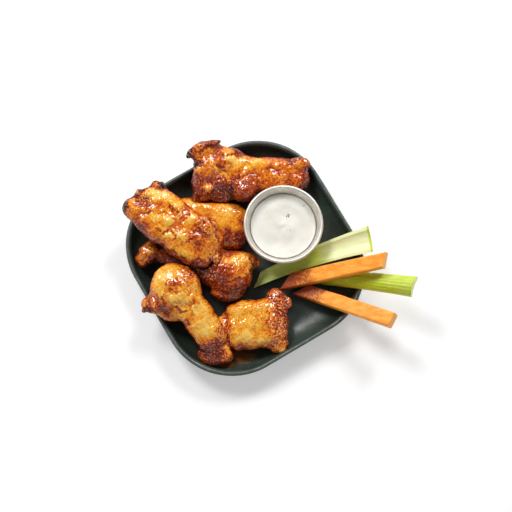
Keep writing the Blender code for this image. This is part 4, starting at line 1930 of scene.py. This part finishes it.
            Patch((-18, -61.2), (3.5, 11), brown=0.16, heading=5, crust=0.9),
        ),
        folds=(
            Fold(((-63, -43.2), (-66, -37.2), (-62, -32.2)), rise=0.9, dark=0.3),
            Fold(((-60, -40.2), (-52, -44.2), (-44, -47.2)), rise=0.9, dark=0.35),
            Fold(((-38, -37.2), (-41, -43.2), (-40, -50.2)), rise=0.5, dark=0.15),
            Fold(((-62, -29.2), (-55, -30.7), (-46, -30.2)), rise=0.6, dark=0.25),
        ),
    ),
    GlazedWing(
        name="wing_right_glazed", nodes=("wing_right",), seed=56, heading=5, brown=0.27, rough=0.7,
        lumps=(
            Lump((-14.5, -58, 12.5), (12, 30, 19), heading=4),
            Lump((-17, -62, 16), (15, 30, 12), heading=8),
            Lump((24, -32, 18), (14, 14, 12)),
            Lump((34, -36, 18), (6, 7, 6)),
            Lump((29, -74, 16), (8, 7, 8)),
        ),
        patches=(
            Patch((-6, -49.2), (5, 5), brown=-0.16),
            Patch((0, -65.2), (5, 4), brown=-0.18, rise=0.4),
            Patch((7, -55.2), (8, 10), brown=-0.1),
            Patch((27, -51.2), (8, 26), brown=0.29, heading=-8, crust=1.0),
            Patch((33, -57.2), (3, 18), brown=0.1, crust=0.5),
            Patch((24, -31.2), (9, 6), brown=0.2, crust=0.8),
            Patch((14, -44), (6, 8), brown=0.08, crust=0.3),
            Patch((-5, -73.2), (6, 3), brown=0.22, crust=0.3),
            Patch((14, -76.2), (18, 3), brown=-0.06),
            # painted glint
            Patch((11.5, -67.7), (1.9, 1.9), brown=-0.2, crust=1.0),
            Patch((-10, -40.2), (8, 2), brown=0.14),
            # painted shade and painted glints in the crease against the front wing
            Patch((-14, -59.2), (3, 12), brown=0.25, crust=0.7),
        ),
        folds=(
            Fold(((17, -35.2), (20, -47.2), (19, -59.2), (21, -69.2)), rise=0.5, dark=0.1),
        ),
    ),
)

FLECKS: tuple[Flecks, ...] = (
    Flecks(
        name="pepper_right", host="wing_right_glazed",
        middle=(0, -52), radii=(10, 8), count=26, size=0.42, seed=3,
    ),
    Flecks(
        name="pepper_left", host="wing_left_glazed",
        middle=(-79, 40), radii=(6, 6), count=30, size=0.45, seed=4,
    ),
    Flecks(
        name="pepper_front", host="wing_front_glazed",
        middle=(-55, -32), radii=(20, 12), count=26, size=0.35, seed=5,
    ),
    Flecks(
        name="pepper_drumette", host="drumette_glazed",
        middle=(-5, -8), radii=(14, 12), count=26, size=0.4, seed=6,
    ),
    Flecks(
        name="herbs_middle", host="dip_cream", slot="dip",
        middle=(34.1, 30), radii=(2.2, 2.6), count=9, size=0.5, seed=7,
    ),
    Flecks(
        name="herbs_right", host="dip_cream", slot="dip",
        middle=(46.8, 38.1), radii=(2.5, 1.5), count=5, size=0.4, seed=8,
    ),
    Flecks(
        name="herbs_low", host="dip_cream", slot="dip",
        middle=(34.8, 18.7), radii=(2.5, 1.5), count=4, size=0.35, seed=9,
    ),
)


def main() -> None:
    """Build the serving, piece by piece, then the studio round it."""
    logging.basicConfig(level=logging.INFO, format="%(message)s", stream=sys.stdout)
    Plate().build()
    SauceCup().build()
    Dip().build()
    for stick in STICKS:
        stick.build()
    for wing in WINGS:
        wing.build()
    GlazePool().build()
    for flecks in FLECKS:
        flecks.build()
    Studio().build()


if __name__ == "__main__":
    main()
